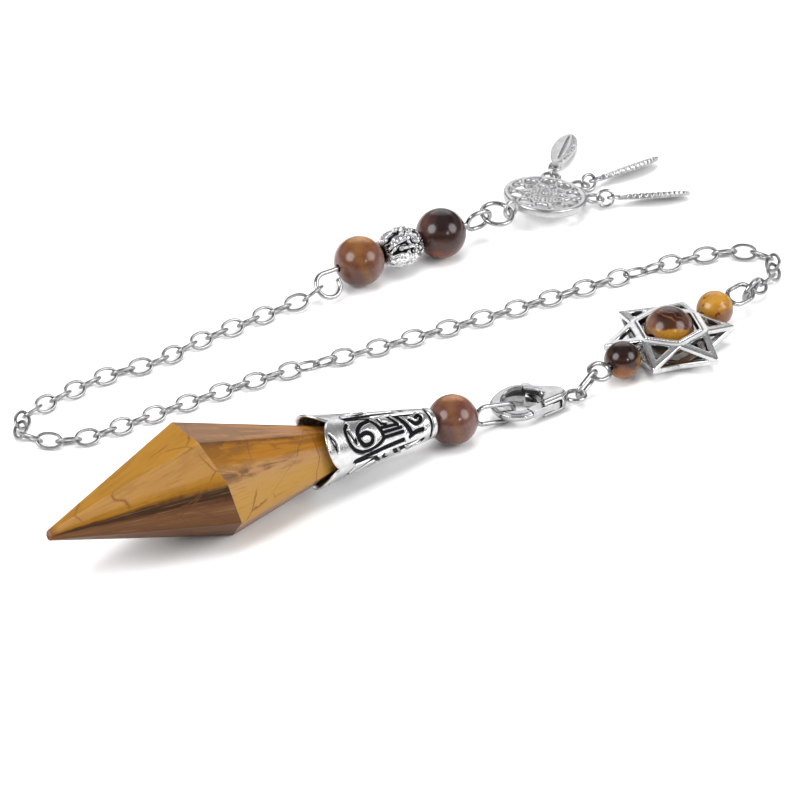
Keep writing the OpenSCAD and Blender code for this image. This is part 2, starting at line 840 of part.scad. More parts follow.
// Cone shell between two offsets from the outer surface, from x1 to x2
module cone_shell(inner, outer, x1, x2) {
    rotate([0, 90, 0])
        rotate_extrude($fn = 72)
            polygon([
                [cone_r(x1) + inner, x1],
                [cone_r(x1) + outer, x1],
                [cone_r(x2) + outer, x2],
                [cone_r(x2) + inner, x2]]);
}

module bead_cap() {
    skin = relief_h;
    petal_in_r = rim_in_r + petal_len * root_slope + petal_flare;
    petal_r = petal_len - petal_foot;
    band_at = cap_len - rim_band;
    color("darkgray")
        in_pendulum()
            difference() {
                union() {
                    rotate([0, 90, 0])
                        rotate_extrude($fn = 72)
                            polygon([
                                [pin_hole / 2, 0],
                                [cap_end_w / 2 - skin, 0],
                                [cone_r(lip_len / 2), bevel],
                                [cone_r(lip_len), lip_len],
                                [cone_r(lip_len + bevel) - skin, lip_len + bevel],
                                [cone_r(band_at - bevel) - skin, band_at - bevel],
                                [cone_r(band_at), band_at],
                                [cone_r(cap_len), cap_len],
                                [petal_in_r + petal_t, cap_len + petal_len],
                                [petal_in_r, cap_len + petal_len],
                                [cone_r(cap_len) - skin - cap_wall, cap_len],
                                [cone_r(end_t) - skin - cap_wall, end_t],
                                [pin_hole / 2, end_t]]);
                    for (rib_at = [cap_len * 0.34, cap_len * 0.66])
                        cone_shell(-skin - cap_wall / 2, 0, rib_at, rib_at + rib_w);
                    intersection() {
                        cone_shell(-skin - cap_wall / 2, 0, lip_len + bevel, band_at);
                        for (quarter = [0 : 3])
                            rotate([ornament_turn + 90 * quarter, 0, 0])
                                linear_extrude(cap_rim_w)
                                    cap_panel();
                    }
                }
                translate([cap_len + petal_foot, 0, 0])
                    difference() {
                        translate([0, -cap_rim_w, -cap_rim_w])
                            cube([petal_len, 2 * cap_rim_w, 2 * cap_rim_w]);
                        for (turn = [0, 90])
                            rotate([ornament_turn + turn, 0, 0])
                                translate([0, 0, -cap_rim_w])
                                    cylinder(r = petal_r, h = 2 * cap_rim_w, $fn = round_fn);
                    }
            }
}

stone();
bead_cap();
pendulum_bead();
pendulum_pin();
clasp_body();
clasp_lever();
clasp_link();
star_pin();
small_bead_1();
small_bead_2();
star_bead();
star_frame();
star_ring();
chain();
strand_pin();
strand_bead_1();
strand_bead_2();
carved_bead();
charm_ring();
charm();
feather_ring_1();
feather_ring_2();
feather_ring_3();
feather_1();
feather_2();
feather_3();
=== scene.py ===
"""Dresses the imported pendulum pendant: stone, cast cap, beads, star, clasp, chain, charm and feathers."""

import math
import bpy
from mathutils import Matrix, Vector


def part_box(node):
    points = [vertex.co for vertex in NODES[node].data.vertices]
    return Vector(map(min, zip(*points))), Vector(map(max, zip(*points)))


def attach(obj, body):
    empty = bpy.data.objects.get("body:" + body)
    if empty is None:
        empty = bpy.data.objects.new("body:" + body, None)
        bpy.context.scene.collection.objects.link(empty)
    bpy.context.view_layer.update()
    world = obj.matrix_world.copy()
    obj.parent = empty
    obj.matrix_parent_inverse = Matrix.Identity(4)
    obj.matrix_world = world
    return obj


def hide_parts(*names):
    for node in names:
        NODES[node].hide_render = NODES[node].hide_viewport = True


bl_info = {
    "name": "Pendulum pendant",
    "version": (1, 0, 0),
    "blender": (4, 5, 0),
    "location": "View3D > Sidebar > Pendant",
    "description": "Builds the pieces and finishes of a pendulum pendant laid out flat",
    "category": "Object",
}

import bmesh
import bpy
import numpy as np
from bpy.props import FloatProperty, FloatVectorProperty, PointerProperty
from mathutils import Matrix, Vector, noise

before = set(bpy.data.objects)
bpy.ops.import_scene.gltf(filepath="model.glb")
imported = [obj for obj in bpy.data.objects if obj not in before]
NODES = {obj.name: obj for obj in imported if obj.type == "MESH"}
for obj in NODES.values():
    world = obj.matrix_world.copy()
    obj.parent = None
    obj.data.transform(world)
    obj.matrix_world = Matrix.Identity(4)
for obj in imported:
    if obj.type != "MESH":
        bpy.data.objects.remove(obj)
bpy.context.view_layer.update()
MM = 0.001
WELD = 0.002 * MM

# Where the pieces lie in the frame: x, y, z in mm, then azimuth, elevation and roll in degrees
PLACES = {
    "cap": (3.798, -21.337, 3.877, 214.3, 5.998, 0),
    "clasp": (11.129, -14.403, 1.540, 17.5, 0, 0),
    "star": (32.961, 1.526, 2.150, 196.5, 0, 0),
    "carved": (0.049, 21.505, 3.2, 33.8, 0, 0),
    "charm": (17.998, 35.353, 2.195, 46.5, -8.316, 0),
    "feather_1": (19.278, 43.854, 1.351, 78, -4.876, 0),
    "feather_2": (24.263, 41.194, 1.183, 37, -1.308, -25),
    "feather_3": (26.514, 36.541, 1.401, 13, -3.392, -25),
}


def place(name):
    """Matrix of a piece's own frame, in millimetres, whose X runs along the piece."""
    x, y, z, az, el, roll = PLACES[name]
    turn = (
        Matrix.Rotation(math.radians(az), 4, "Z")
        @ Matrix.Rotation(math.radians(-el), 4, "Y")
        @ Matrix.Rotation(math.radians(roll), 4, "X")
    )
    return Matrix.Scale(MM, 4) @ Matrix.Translation((x, y, z)) @ turn


def smoothstep(low, high, value):
    t = np.clip((value - low) / (high - low), 0, 1)
    return t * t * (3 - 2 * t)


# Meshes and pieces


def dress(mesh, material):
    """Gives a mesh its one material."""
    mesh.materials.clear()
    mesh.materials.append(material)


def add_piece(name, mesh, body, material, nodes, smooth=True):
    """Links a mesh as a piece that rides on a body and stands for CAD nodes."""
    piece = bpy.data.objects.new(name, mesh)
    bpy.context.scene.collection.objects.link(piece)
    dress(mesh, material)
    if smooth:
        mesh.shade_smooth()
    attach(piece, body)
    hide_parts(*nodes)


def mesh_from(name, points, faces, matrix=None):
    mesh = bpy.data.meshes.new(name)
    mesh.from_pydata([tuple(p) for p in points], [], faces)
    if matrix is not None:
        mesh.transform(matrix)
    mesh.update()
    return mesh


def points_of(mesh):
    points = np.empty(len(mesh.vertices) * 3)
    mesh.vertices.foreach_get("co", points)
    return points.reshape(-1, 3)


def edges_of(mesh):
    edges = np.empty(len(mesh.edges) * 2, dtype=np.int64)
    mesh.edges.foreach_get("vertices", edges)
    return edges.reshape(-1, 2)


def set_recess(mesh, values):
    """Stores how deep in a recess each point lies, from 0 to 1, or how much painted shade it gets."""
    layer = mesh.attributes.new("recess", "FLOAT", "POINT")
    layer.data.foreach_set("value", np.asarray(values, dtype=np.float32))


def grid_faces(rows, columns, closed=True):
    """Quads of a grid round its columns, whose rows close too or else end in a flat cap at each end."""
    faces = []
    for i in range(rows if closed else rows - 1):
        for j in range(columns):
            n, k = (i + 1) % rows, (j + 1) % columns
            faces.append((i * columns + j, i * columns + k, n * columns + k, n * columns + j))
    if not closed:
        last = rows * columns - 1
        faces += [tuple(range(columns)), tuple(range(last, last - columns, -1))]
    return faces


def cad_mesh(node, name, flat=True):
    """Welded copy of a CAD node's mesh, with whole flat faces if asked."""
    mesh = NODES[node].data.copy()
    mesh.name = name
    shape = bmesh.new()
    shape.from_mesh(mesh)
    bmesh.ops.remove_doubles(shape, verts=shape.verts, dist=WELD)
    if flat:
        bmesh.ops.dissolve_limit(shape, angle_limit=math.radians(0.5), verts=shape.verts, edges=shape.edges)
    shape.to_mesh(mesh)
    shape.free()
    return mesh


def node_in_mm(node):
    mesh = cad_mesh(node, node + "_copy", False)
    mesh.transform(Matrix.Scale(1 / MM, 4))
    return mesh


FLAT_RECESS = 0.3


def hollows(mesh, passes, full):
    """Stores how far each point lies under the smoothed surface, as a share of the full depth."""
    points = points_of(mesh)
    normals = np.array([v.normal for v in mesh.vertices])
    edges = edges_of(mesh)
    count = np.bincount(edges.ravel(), minlength=len(points))[:, None]
    even = points.copy()
    for _ in range(passes):
        total = np.zeros_like(even)
        for here, there in (edges.T, edges.T[::-1]):
            for axis in range(3):
                total[:, axis] += np.bincount(here, even[there, axis], len(points))
        even = 0.5 * even + 0.5 * total / np.maximum(count, 1)
    depth = ((even - points) * normals).sum(1) / full
    set_recess(mesh, np.clip(depth + FLAT_RECESS, 0, 1))


def cast(name, parts, voxel, soften=2, passes=25, full=0.12, swell=0.0):
    """Joins overlapping meshes in millimetres to one skin with softened edges."""
    joined = bmesh.new()
    for part in parts:
        joined.from_mesh(part)
    mesh = bpy.data.meshes.new(name)
    joined.to_mesh(mesh)
    joined.free()
    blank = bpy.data.objects.new(name + "_blank", mesh)
    bpy.context.scene.collection.objects.link(blank)
    skin = blank.modifiers.new("skin", "REMESH")
    skin.mode, skin.voxel_size = "VOXEL", voxel
    if swell:
        grown = blank.modifiers.new("grown", "DISPLACE")
        grown.strength, grown.mid_level = swell, 0.0
    soft = blank.modifiers.new("soft", "SMOOTH")
    soft.factor, soft.iterations = 0.5, soften
    bpy.context.view_layer.update()
    ready = blank.evaluated_get(bpy.context.evaluated_depsgraph_get())
    made = bpy.data.meshes.new_from_object(ready)
    bpy.data.objects.remove(blank)
    hollows(made, passes, full)
    made.transform(Matrix.Scale(MM, 4))
    made.name = name
    return made


def tube(path, radius, sides=10, closed=True):
    """Round wire along points, in the points' own units; a radius may be given for each point."""
    path = [Vector(p) for p in path]
    count = len(path)
    radii = radius if isinstance(radius, list) else [radius] * count
    points = []
    for i, here in enumerate(path):
        before = path[i - 1] if closed or i else here
        after = path[(i + 1) % count] if closed or i + 1 < count else here
        along = (after - before).normalized()
        side = along.cross(Vector((0, 0, 1))).normalized()
        up = side.cross(along).normalized()
        for j in range(sides):
            a = j * math.tau / sides
            points.append(here + (side * math.cos(a) + up * math.sin(a)) * radii[i])
    return mesh_from("wire", points, grid_faces(count, sides, closed))


def eased(value, power):
    """A sine or cosine raised to a power that keeps its sign."""
    return math.copysign(abs(value) ** power, value)


def wire_loop(length, width, wire, around=40, sides=14, full=1, high=None, square=1, shift=0.5):
    """Points and faces of a wire ring in XY: oval or fuller than an ellipse, its wire high or squarish."""
    points = []
    a, b = (length - wire) / 2, (width - wire) / 2
    for k in range(around):
        t = (k + shift) * math.tau / around
        c, d = math.cos(t), math.sin(t)
        x, y, norm = a * eased(c, full), b * eased(d, full), math.hypot(c / a, d / b)
        for j in range(sides):
            turn = j * math.tau / sides
            off = wire / 2 * eased(math.cos(turn), square) / norm
            rise = (high or wire) / 2 * eased(math.sin(turn), square)
            points.append((x + c / a * off, y + d / b * off, rise))
    return np.array(points), grid_faces(around, sides)


def ring_mesh(width, wire, at=(0, 0, 0), stand=0, **more):
    """Round ring that lies in XY or stands up by an angle in degrees."""
    spin = Matrix.Translation(at) @ Matrix.Rotation(math.radians(stand), 4, "X")
    return mesh_from("ring", *wire_loop(width, width, wire, **more), spin)


# Materials


def toned(colour, factor):
    """A colour made brighter or darker by a factor."""
    return tuple(c * factor for c in colour)


def set_stops(bar, stops):
    """Gives a colour ramp its stops, each a position with a grey value or a colour."""
    for k, (at, value) in enumerate(stops):
        inner = 0 < k < len(stops) - 1
        element = bar.elements.new(at) if inner else bar.elements[-1 if k else 0]
        element.position = at
        element.color = (*value, 1) if isinstance(value, tuple) else (value, value, value, 1)


# Sockets of the mixing node when it mixes colours: share, two colours and result
MIX_SHARE, MIX_A, MIX_B, MIX_RESULT = 0, 6, 7, 2


class Finish:
    """One procedural material and short ways to add nodes to it."""

    def __init__(self, name):
        self.material = bpy.data.materials.new(name)
        self.material.use_nodes = True
        self.tree = self.material.node_tree
        self.shader = self.tree.nodes["Principled BSDF"]

    def put(self, node, socket, value):
        target = node.inputs[socket]
        if isinstance(value, bpy.types.NodeSocket):
            self.tree.links.new(value, target)
        else:
            target.default_value = value

    def node(self, kind, settings=None, **sockets):
        made = self.tree.nodes.new(kind)
        for key, value in (settings or {}).items():
            setattr(made, key, value)
        for key, value in sockets.items():
            self.put(made, key.replace("_", " "), value)
        return made

    def shade(self, **sockets):
        for key, value in sockets.items():
            self.put(self.shader, key.replace("_", " "), value)

    def vector(self, operation, *values):
        made = self.node("ShaderNodeVectorMath", {"operation": operation})
        for k, value in enumerate(values):
            self.put(made, k, value)
        return made.outputs["Value" if operation == "DOT_PRODUCT" else "Vector"]

    def coords(self, name=None):
        """Object coordinates in millimetres, in the frame of a place if one is named."""
        source = self.node("ShaderNodeTexCoord").outputs["Object"]
        turn = place(name).normalized() if name else Matrix.Identity(4)
        move = self.vector("SUBTRACT", source, tuple(turn.translation))
        spin = self.node(
            "ShaderNodeMapping", {"vector_type": "TEXTURE"}, Vector=move, Rotation=turn.to_euler()
        )
        return self.vector("MULTIPLY", spin.outputs[0], (1 / MM,) * 3)

    def noise(self, vector, scale, detail=4, rough=0.5, distort=0.0, output="Fac"):
        made = self.node("ShaderNodeTexNoise", Vector=vector, Scale=scale, Detail=detail)
        self.put(made, "Roughness", rough)
        self.put(made, "Distortion", distort)
        return made.outputs[output]

    def ramp(self, fac, stops, smooth=True):
        made = self.node("ShaderNodeValToRGB", Fac=fac)
        made.color_ramp.interpolation = "EASE" if smooth else "LINEAR"
        set_stops(made.color_ramp, stops)
        return made.outputs["Color"]

    def math(self, operation, a, b=0.0, clamp=False):
        made = self.node("ShaderNodeMath", {"operation": operation, "use_clamp": clamp})
        self.put(made, 0, a)
        self.put(made, 1, b)
        return made.outputs[0]

    def swayed(self, value, fac, reach, clamp=False):
        """A value that a noise pushes up and down by half a reach."""
        push = self.math("MULTIPLY", self.math("SUBTRACT", fac, 0.5), reach)
        return self.math("ADD", value, push, clamp)

    def rest(self, fac):
        """What a share leaves of one."""
        return self.math("SUBTRACT", 1.0, fac)

    def mix(self, fac, a, b, blend="MIX"):
        made = self.node("ShaderNodeMix", {"data_type": "RGBA", "blend_type": blend})
        for socket, value in ((MIX_SHARE, fac), (MIX_A, a), (MIX_B, b)):
            self.put(made, socket, (*value, 1) if isinstance(value, tuple) else value)
        return made.outputs[MIX_RESULT]

    def share(self, name):
        return self.node("ShaderNodeAttribute", {"attribute_name": name}).outputs["Fac"]

    def bump(self, height, strength, distance):
        """Bump from a height, whose distance is in millimetres."""
        made = self.node("ShaderNodeBump", Strength=strength, Distance=distance * MM, Height=height)
        return made.outputs[0]


def wire_finish(name, looks, tone, rough):
    """Bright plated wire with faint drawing marks and dull spots."""
    f = Finish(name)
    at = f.coords()
    spots = f.noise(at, scale=1.3, detail=5, rough=0.6)
    marks = f.noise(at, scale=9, detail=3)
    bright = toned(looks.silver, tone)
    f.shade(
        Base_Color=f.ramp(spots, [(0.25, toned(bright, 0.72)), (0.6, bright)]),
        Metallic=1.0,
        Roughness=f.ramp(marks, [(0.3, rough), (0.75, rough * 1.9)]),
        Normal=f.bump(marks, strength=0.12, distance=0.03),
    )
    return f.material


def cast_finish(name, looks, tone, rough, black=1.0):
    """Cast silver that is polished on its high parts and blackened in its recesses: patina, and painted
    shade where a piece stores it in its recess share.
    """
    f = Finish(name)
    at = f.coords()
    grain = f.noise(at, scale=6, detail=6, rough=0.65)
    deep = f.swayed(f.share("recess"), grain, 0.5, True)
    # Black from the recess share: patina in the hollows, plus the painted shade that the cap, the clasp and
    # the star add
    soot_and_shade = f.ramp(deep, [(0.36, 0.0), (0.72, black)])
    bright = toned(looks.silver, tone)
    worn = f.ramp(f.noise(at, scale=1.1), [(0.3, toned(bright, 0.8)), (0.7, bright)])
    f.shade(
        Base_Color=f.mix(soot_and_shade, worn, tuple(looks.soot_and_shade)),
        Metallic=1.0,
        Roughness=f.ramp(deep, [(0.1, rough), (0.7, 0.6)]),
        Normal=f.bump(grain, strength=0.25, distance=0.06),
    )
    return f.material


# The stone's girdle and tip along its own axis, how far the tip drops below it, and how the bands lean
GIRDLE_AT, TIP_APEX, TIP_DROP, BAND_LEAN = 33.6, 24.01, 3.0, 0.016
# Stretch of the broad and the fine streaks: along the stone, then round it
BROAD_STREAK, FINE_STREAK = (0.10, 9.0), (0.16, 60.0)
STONE_END, STONE_CRACK = (0.13, 0.045, 0.012), (0.10, 0.035, 0.012)

# Colours round the stone, from its underside to its top: turn as a share of the half round, then colour
TIP_SIDE = [
    (0.0, (0.085, 0.036, 0.014)), (0.36, (0.10, 0.042, 0.016)), (0.48, (0.12, 0.050, 0.018)),
    (0.53, (0.085, 0.032, 0.010)), (0.565, (0.030, 0.010, 0.001)), (0.61, (0.036, 0.013, 0.001)),
    (0.64, (0.19, 0.080, 0.006)), (0.69, (0.25, 0.115, 0.012)), (0.715, (0.28, 0.143, 0.040)),
    (0.86, (0.29, 0.150, 0.042)), (0.885, (0.265, 0.124, 0.012)), (1.0, (0.26, 0.120, 0.012)),
]
CAP_SIDE = [
    (0.0, (0.18, 0.095, 0.05)), (0.33, (0.29, 0.165, 0.08)), (0.39, (0.33, 0.175, 0.038)),
    (0.50, (0.345, 0.185, 0.035)), (0.60, (0.34, 0.185, 0.055)), (0.665, (0.27, 0.14, 0.062)),
    (0.70, (0.30, 0.155, 0.05)), (0.73, (0.255, 0.10, 0.005)), (0.84, (0.25, 0.098, 0.005)),
    (0.875, (0.11, 0.038, 0.004)), (0.92, (0.26, 0.115, 0.022)), (1.0, (0.23, 0.10, 0.028)),
]


def stone_finish(looks):
    """Honey stone with streaks that fan out from its ends, dark seams and fine cracks."""
    f = Finish("banded_stone")
    at = f.coords("cap")
    split = f.node("ShaderNodeSeparateXYZ", Vector=at)
    x, y, z = (split.outputs[axis] for axis in "XYZ")
    front = f.share("tip_side")

    # The turn round the stone's own axis, which bends down past the girdle
    past = f.math("SUBTRACT", x, GIRDLE_AT)
    drop = f.math("MULTIPLY", f.math("MULTIPLY", past, TIP_DROP / TIP_APEX), front)
    turn = f.math("ARCTAN2", f.math("ADD", z, drop), f.math("ABSOLUTE", y))
    turn = f.math("ADD", f.math("DIVIDE", turn, math.pi), 0.5)

    def stretched(along, across):
        sockets = {"X": f.math("MULTIPLY", x, along), "Y": f.math("MULTIPLY", turn, across), "Z": front}
        return f.node("ShaderNodeCombineXYZ", **sockets).outputs[0]

    broad, fine = stretched(*BROAD_STREAK), stretched(*FINE_STREAK)

    # Bands with ragged borders
    bent = f.swayed(turn, f.noise(broad, scale=1.0, rough=0.6, distort=0.5), 0.07)
    bent = f.swayed(bent, f.noise(at, scale=1.1, detail=5, rough=0.6), 0.04)
    lean = f.math("SUBTRACT", bent, f.math("MULTIPLY", drop, BAND_LEAN))
    lean = f.swayed(lean, f.noise(fine, scale=0.35, detail=3, rough=0.6), 0.09)
    colour = f.mix(front, f.ramp(bent, CAP_SIDE, False), f.ramp(lean, TIP_SIDE, False))

    # Dark and silky streaks, then dark patches in the gold bands, most of them by the girdle
    streak = f.noise(fine, scale=1.0, detail=5, rough=0.62, distort=0.3)
    colour = f.mix(f.ramp(streak, [(0.28, 0.45), (0.46, 0.0)]), colour, tuple(looks.stone_brown))
    colour = f.mix(f.ramp(streak, [(0.52, 0.0), (0.75, 0.32)]), colour, tuple(looks.stone_pale))
    close = f.ramp(f.math("DIVIDE", past, -TIP_APEX), [(0.0, 0.09), (0.3, 0.0)])
    patch = f.noise(broad, scale=1.7, detail=5, rough=0.6, distort=0.8)
    patch = f.math("ADD", patch, f.math("MULTIPLY", close, f.rest(front)))
    gold = f.ramp(bent, [(0.60, 0.0), (0.66, 1.0), (0.72, 0.35), (0.86, 0.7)])
    dusk = f.math("MULTIPLY", f.ramp(patch, [(0.46, 0.0), (0.62, 0.75)]), gold)
    dusk = f.math("MULTIPLY", dusk, f.rest(f.math("MULTIPLY", front, 0.65)))
    colour = f.mix(dusk, colour, tuple(looks.stone_brown))
    end = f.ramp(f.math("DIVIDE", past, TIP_APEX), [(0.86, 0.0), (0.925, 0.85)])
    colour = f.mix(end, colour, STONE_END)

    # Fine cracks
    wander = f.noise(at, scale=0.5, detail=3, output="Color")
    wander = f.vector("MULTIPLY_ADD", wander, (0.9, 0.9, 0.9), at)
    cells = f.node("ShaderNodeTexVoronoi", {"feature": "DISTANCE_TO_EDGE"}, Vector=wander, Scale=0.16)
    line = f.ramp(cells.outputs[0], [(0.0, 1.0), (0.009, 0.5), (0.022, 0.0)])
    some = f.ramp(f.noise(at, scale=0.17, detail=2), [(0.44, 0.0), (0.54, 1.0)])
    crack = f.math("MULTIPLY", line, some)
    colour = f.mix(f.math("MULTIPLY", crack, 0.8), colour, STONE_CRACK)
    f.shade(
        Base_Color=colour,
        Roughness=0.3,
        IOR=1.33,
        Specular_IOR_Level=f.ramp(turn, [(0.36, 0.08), (0.40, 0.2), (0.61, 0.2), (0.64, 0.5)]),
        Normal=f.bump(crack, strength=0.08, distance=-0.02),
    )
    return f.material


BEAD_THREAD, BEAD_SPOT, BEAD_DIM = (0.02, 0.01, 0.006), (0.09, 0.012, 0.006), (0.71, 0.64, 0.62)
BEAD_SWAY = 0.5


def bead_finish(name, node, look):
    """Polished bead: a ramp up its side, bands across chosen directions, some of them painted reflections
    and highlights, and a few dark spots.
    """
    f = Finish(name)
    low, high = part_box(node)
    at = f.vector("SUBTRACT", f.node("ShaderNodeTexCoord").outputs["Object"], tuple((low + high) / 2))
    at = f.vector("MULTIPLY", at, (2 / (high.z - low.z),) * 3)
    cloud = f.node("ShaderNodeTexNoise", Vector=at, Scale=1.5, Detail=2, Roughness=0.45)
    bent = f.vector("MULTIPLY_ADD", cloud.outputs["Color"], (BEAD_SWAY,) * 3, at)
    bent = f.vector("SUBTRACT", bent, (BEAD_SWAY / 2,) * 3)

    def reach_along(direction):
        return f.vector("DOT_PRODUCT", bent, tuple(Vector(direction).normalized()))

    half = f.math("ADD", f.math("MULTIPLY", reach_along(look.get("up", UP)), 0.5), 0.5, True)
    colour = f.ramp(half, look["base"])
    for direction, middle, width, tint, strength in look["bands"]:
        gap = f.math("ABSOLUTE", f.math("SUBTRACT", reach_along(direction), middle))
        colour = f.mix(f.ramp(gap, [(0.0, strength), (width, 0.0)]), colour, tint)
    thread = f.noise(bent, scale=9, detail=3)
    colour = f.mix(f.ramp(thread, [(0.4, 0.0), (0.75, 0.2)]), colour, BEAD_THREAD)
    if look.get("spots"):
        dots = f.ramp(f.noise(at, scale=3.1, detail=2), [(0.62, 0.0), (0.70, look["spots"])])
        colour = f.mix(dots, colour, BEAD_SPOT)
    f.shade(
        Base_Color=f.mix(1.0, colour, BEAD_DIM, "MULTIPLY"),
        Roughness=0.21,
        IOR=1.42,
        Coat_Weight=0.1,
        Coat_Roughness=0.03,
        Normal=f.bump(cloud.outputs["Fac"], strength=0.03, distance=0.05),
    )
    return f.material


# Settings


class PendantLooks(bpy.types.PropertyGroup):
    """Colours of the stone and the metal, and the finish of the polished parts."""

    stone_brown: FloatVectorProperty(
        name="Seams", description="Dark seams of the stone", subtype="COLOR", default=(0.055, 0.021, 0.006)
    )
    stone_pale: FloatVectorProperty(
        name="Silk", description="Pale streaks of the stone", subtype="COLOR", default=(0.36, 0.21, 0.085)
    )
    silver: FloatVectorProperty(
        name="Silver", description="Colour of the plated metal", subtype="COLOR", default=(0.50, 0.50, 0.505)
    )
    # Black of the recesses: patina, and painted shade on the pieces that add it
    soot_and_shade: FloatVectorProperty(
        name="Recesses", description="Blackened recesses", subtype="COLOR", default=(0.012, 0.012, 0.013)
    )
    polish: FloatProperty(
        name="Roughness", description="Roughness of the polished metal", default=0.14, min=0.05, max=0.5
    )


class PendantSizes(bpy.types.PropertyGroup):
    """Sizes of the details that the scene adds."""

    edge_round: FloatProperty(
        name="Edge", description="Width of the stone's worn edges", unit="LENGTH", default=0.08 * MM
    )
    relief: FloatProperty(
        name="Relief", description="Depth of the cap's cast ornament", unit="LENGTH", default=0.32 * MM
    )
    link_length: FloatProperty(
        name="Link length", description="Length of a chain link", unit="LENGTH", default=3.4 * MM
    )
    link_width: FloatProperty(
        name="Link width", description="Width of a chain link", unit="LENGTH", default=2.3 * MM
    )
    link_wire: FloatProperty(
        name="Link wire", description="Wire of the chain", unit="LENGTH", default=0.42 * MM
    )


# Stone


class PENDANT_OT_stone(bpy.types.Operator):
    """Cuts the stone's facets with softened edges"""

    bl_idname = "pendant.stone"
    bl_label = "Stone"

    def execute(self, context):
        looks, sizes = context.scene.pendant_looks, context.scene.pendant_sizes
        mesh = cad_mesh("stone", "polished_stone")
        shape = bmesh.new()
        shape.from_mesh(mesh)
        turn = place("cap").normalized().to_3x3().inverted()
        layer = shape.faces.layers.float.new("tip_side")
        for face in shape.faces:
            face[layer] = 1.0 if (turn @ face.normal).x > 0 else 0.0
        bmesh.ops.bevel(
            shape, geom=list(shape.edges), offset=sizes.edge_round, segments=2, affect="EDGES", profile=0.6
        )
        shape.to_mesh(mesh)
        shape.free()
        add_piece("stone_cut", mesh, "pendant", stone_finish(looks), ["stone"], smooth=False)
        return {"FINISHED"}


# Cap


CAP_LEN, CAP_END_R, CAP_RIM_R, CAP_WALL, BORE_MIN_R = 14.4, 1.85, 4.0, 0.45, 0.6
PETAL_LEN, PETAL_FOOT, PETAL_R, PETAL_T, PETAL_CURL = 3.7, 0.4, 4.32, 0.35, 0.05
# Turn of the first petal in degrees, and height and start of the band round the rim
ORNAMENT_TURN, BAND_RISE, BAND_AT, BAND_STEP = 36, 0.04, 13.7, 0.3
# Rounding of the small end and of the petals' edge: width, then depth
END_ROUND, PETAL_ROUND = (0.35, 0.35), (0.3, 0.12)
# Grid of the cap: points round it and along it, their shares on cone and petals, and the step inside
CAP_COLUMNS, CAP_ROWS, CONE_ROWS, PETAL_ROWS, INNER_STEP = 400, 190, 0.8, 0.2, 8
# How black the inside is at the petals, and how much more painted shade darkens the inside of the cone
PETAL_BLACK, CONE_INSIDE_SHADE = 0.25, 0.5

# Grooves between the motifs of one panel: half width, then points as mm from the small end and mm across
CAP_GROOVES = [
    (0.26, [(13.8, 2.2), (14.4, 1.6), (14.6, 0.7), (14.4, -0.4), (13.7, -1.3), (12.5, -1.8), (11.0, -1.7),
            (9.7, -1.2), (9.0, -0.6)]),
    (0.16, [(14.1, 1.3), (13.9, 0.5), (13.4, -0.5)]),
    (0.16, [(13.4, -0.5), (13.3, 0.1)]),
    (0.31, [(10.2, 2.1), (11.4, 1.9), (12.3, 1.4), (12.8, 0.6), (12.7, -0.3), (12.1, -0.95), (11.2, -0.95),
            (10.7, -0.4), (10.8, 0.25), (11.5, 0.55), (12.4, 0.35)]),
    (0.29, [(10.2, 2.1), (9.5, 1.3), (9.1, 0.4), (8.9, -0.6)]),
    (0.24, [(8.9, 2.0), (8.7, 1.3)]),
    (0.24, [(8.7, 1.3), (8.0, 1.1)]),
    (0.29, [(7.4, 2.5), (6.9, 1.6), (6.3, 0.7)]),
    (0.24, [(8.8, 0.75), (6.4, 0.75)]),
    (0.23, [(8.7, 0.1), (5.9, 0.25)]),
    (0.23, [(8.7, -0.55), (5.8, -0.35)]),
    (0.36, [(6.5, 2.6), (5.7, 1.4), (4.9, 0.1), (4.6, -0.6)]),
    (0.34, [(5.4, 2.1), (4.4, 1.8), (3.4, 1.9)]),
    (0.29, [(4.3, 0.9), (3.6, 0.3), (2.9, 0.35), (2.4, 0.9), (2.6, 1.4), (3.2, 1.1)]),
    (0.31, [(4.7, -1.2), (3.8, -0.8), (2.6, -0.7)]),
    (0.19, [(1.2, 1.6), (1.1, 0.6), (1.1, -0.6), (1.2, -1.6)]),
    (0.32, [(13.4, 3.0), (11.7, 2.8), (9.7, 2.65), (7.9, 2.7)]),
    (0.36, [(13.7, -2.9), (12.0, -2.55), (9.9, -2.15)]),
    (0.34, [(9.6, -2.05), (7.8, -1.75), (5.9, -1.5)]),
    (0.13, [(17.3, 1.35), (17.1, 0.3), (16.7, -0.95)]),
    (0.13, [(17.3, 1.35), (16.7, 0.2), (16.7, -0.95)]),
]
# Ball inside the swirl: where along and across, then its radius
CAP_BALL = (11.7, -0.2, 0.48)


def curve_through(line, steps=5):
    """Points of a smooth curve that passes through the points of a line."""
    line = [np.array(p, dtype=float) for p in line]
    made = []
    for k in range(len(line) - 1):
        a, b, c, d = line[max(k - 1, 0)], line[k], line[k + 1], line[min(k + 2, len(line) - 1)]
        for n in range(steps):
            t = n / steps
            bend = (2 * a - 5 * b + 4 * c - d) * t**2 + (3 * b - a - 3 * c + d) * t**3
            made.append(0.5 * (2 * b + (c - a) * t + bend))
    return made + [line[-1]]


def groove_depth(along, across, grooves, soft=0.1):
    """Share of the full depth at points of an unrolled panel."""
    depth = np.zeros_like(along)
    for half, line in grooves:
        line = curve_through(line) if len(line) > 2 else line
        for (x1, y1), (x2, y2) in zip(line, line[1:]):
            dx, dy = x2 - x1, y2 - y1
            t = np.clip(((along - x1) * dx + (across - y1) * dy) / (dx * dx + dy * dy), 0, 1)
            gap = np.hypot(along - x1 - t * dx, across - y1 - t * dy)
            depth = np.maximum(depth, 1 - smoothstep(half - soft, half + soft, gap))
    return depth


def turned_points(along, radius, angle):
    """Points at a radius and an angle round X."""
    return np.stack((along, radius * np.cos(angle), radius * np.sin(angle)), -1).reshape(-1, 3)


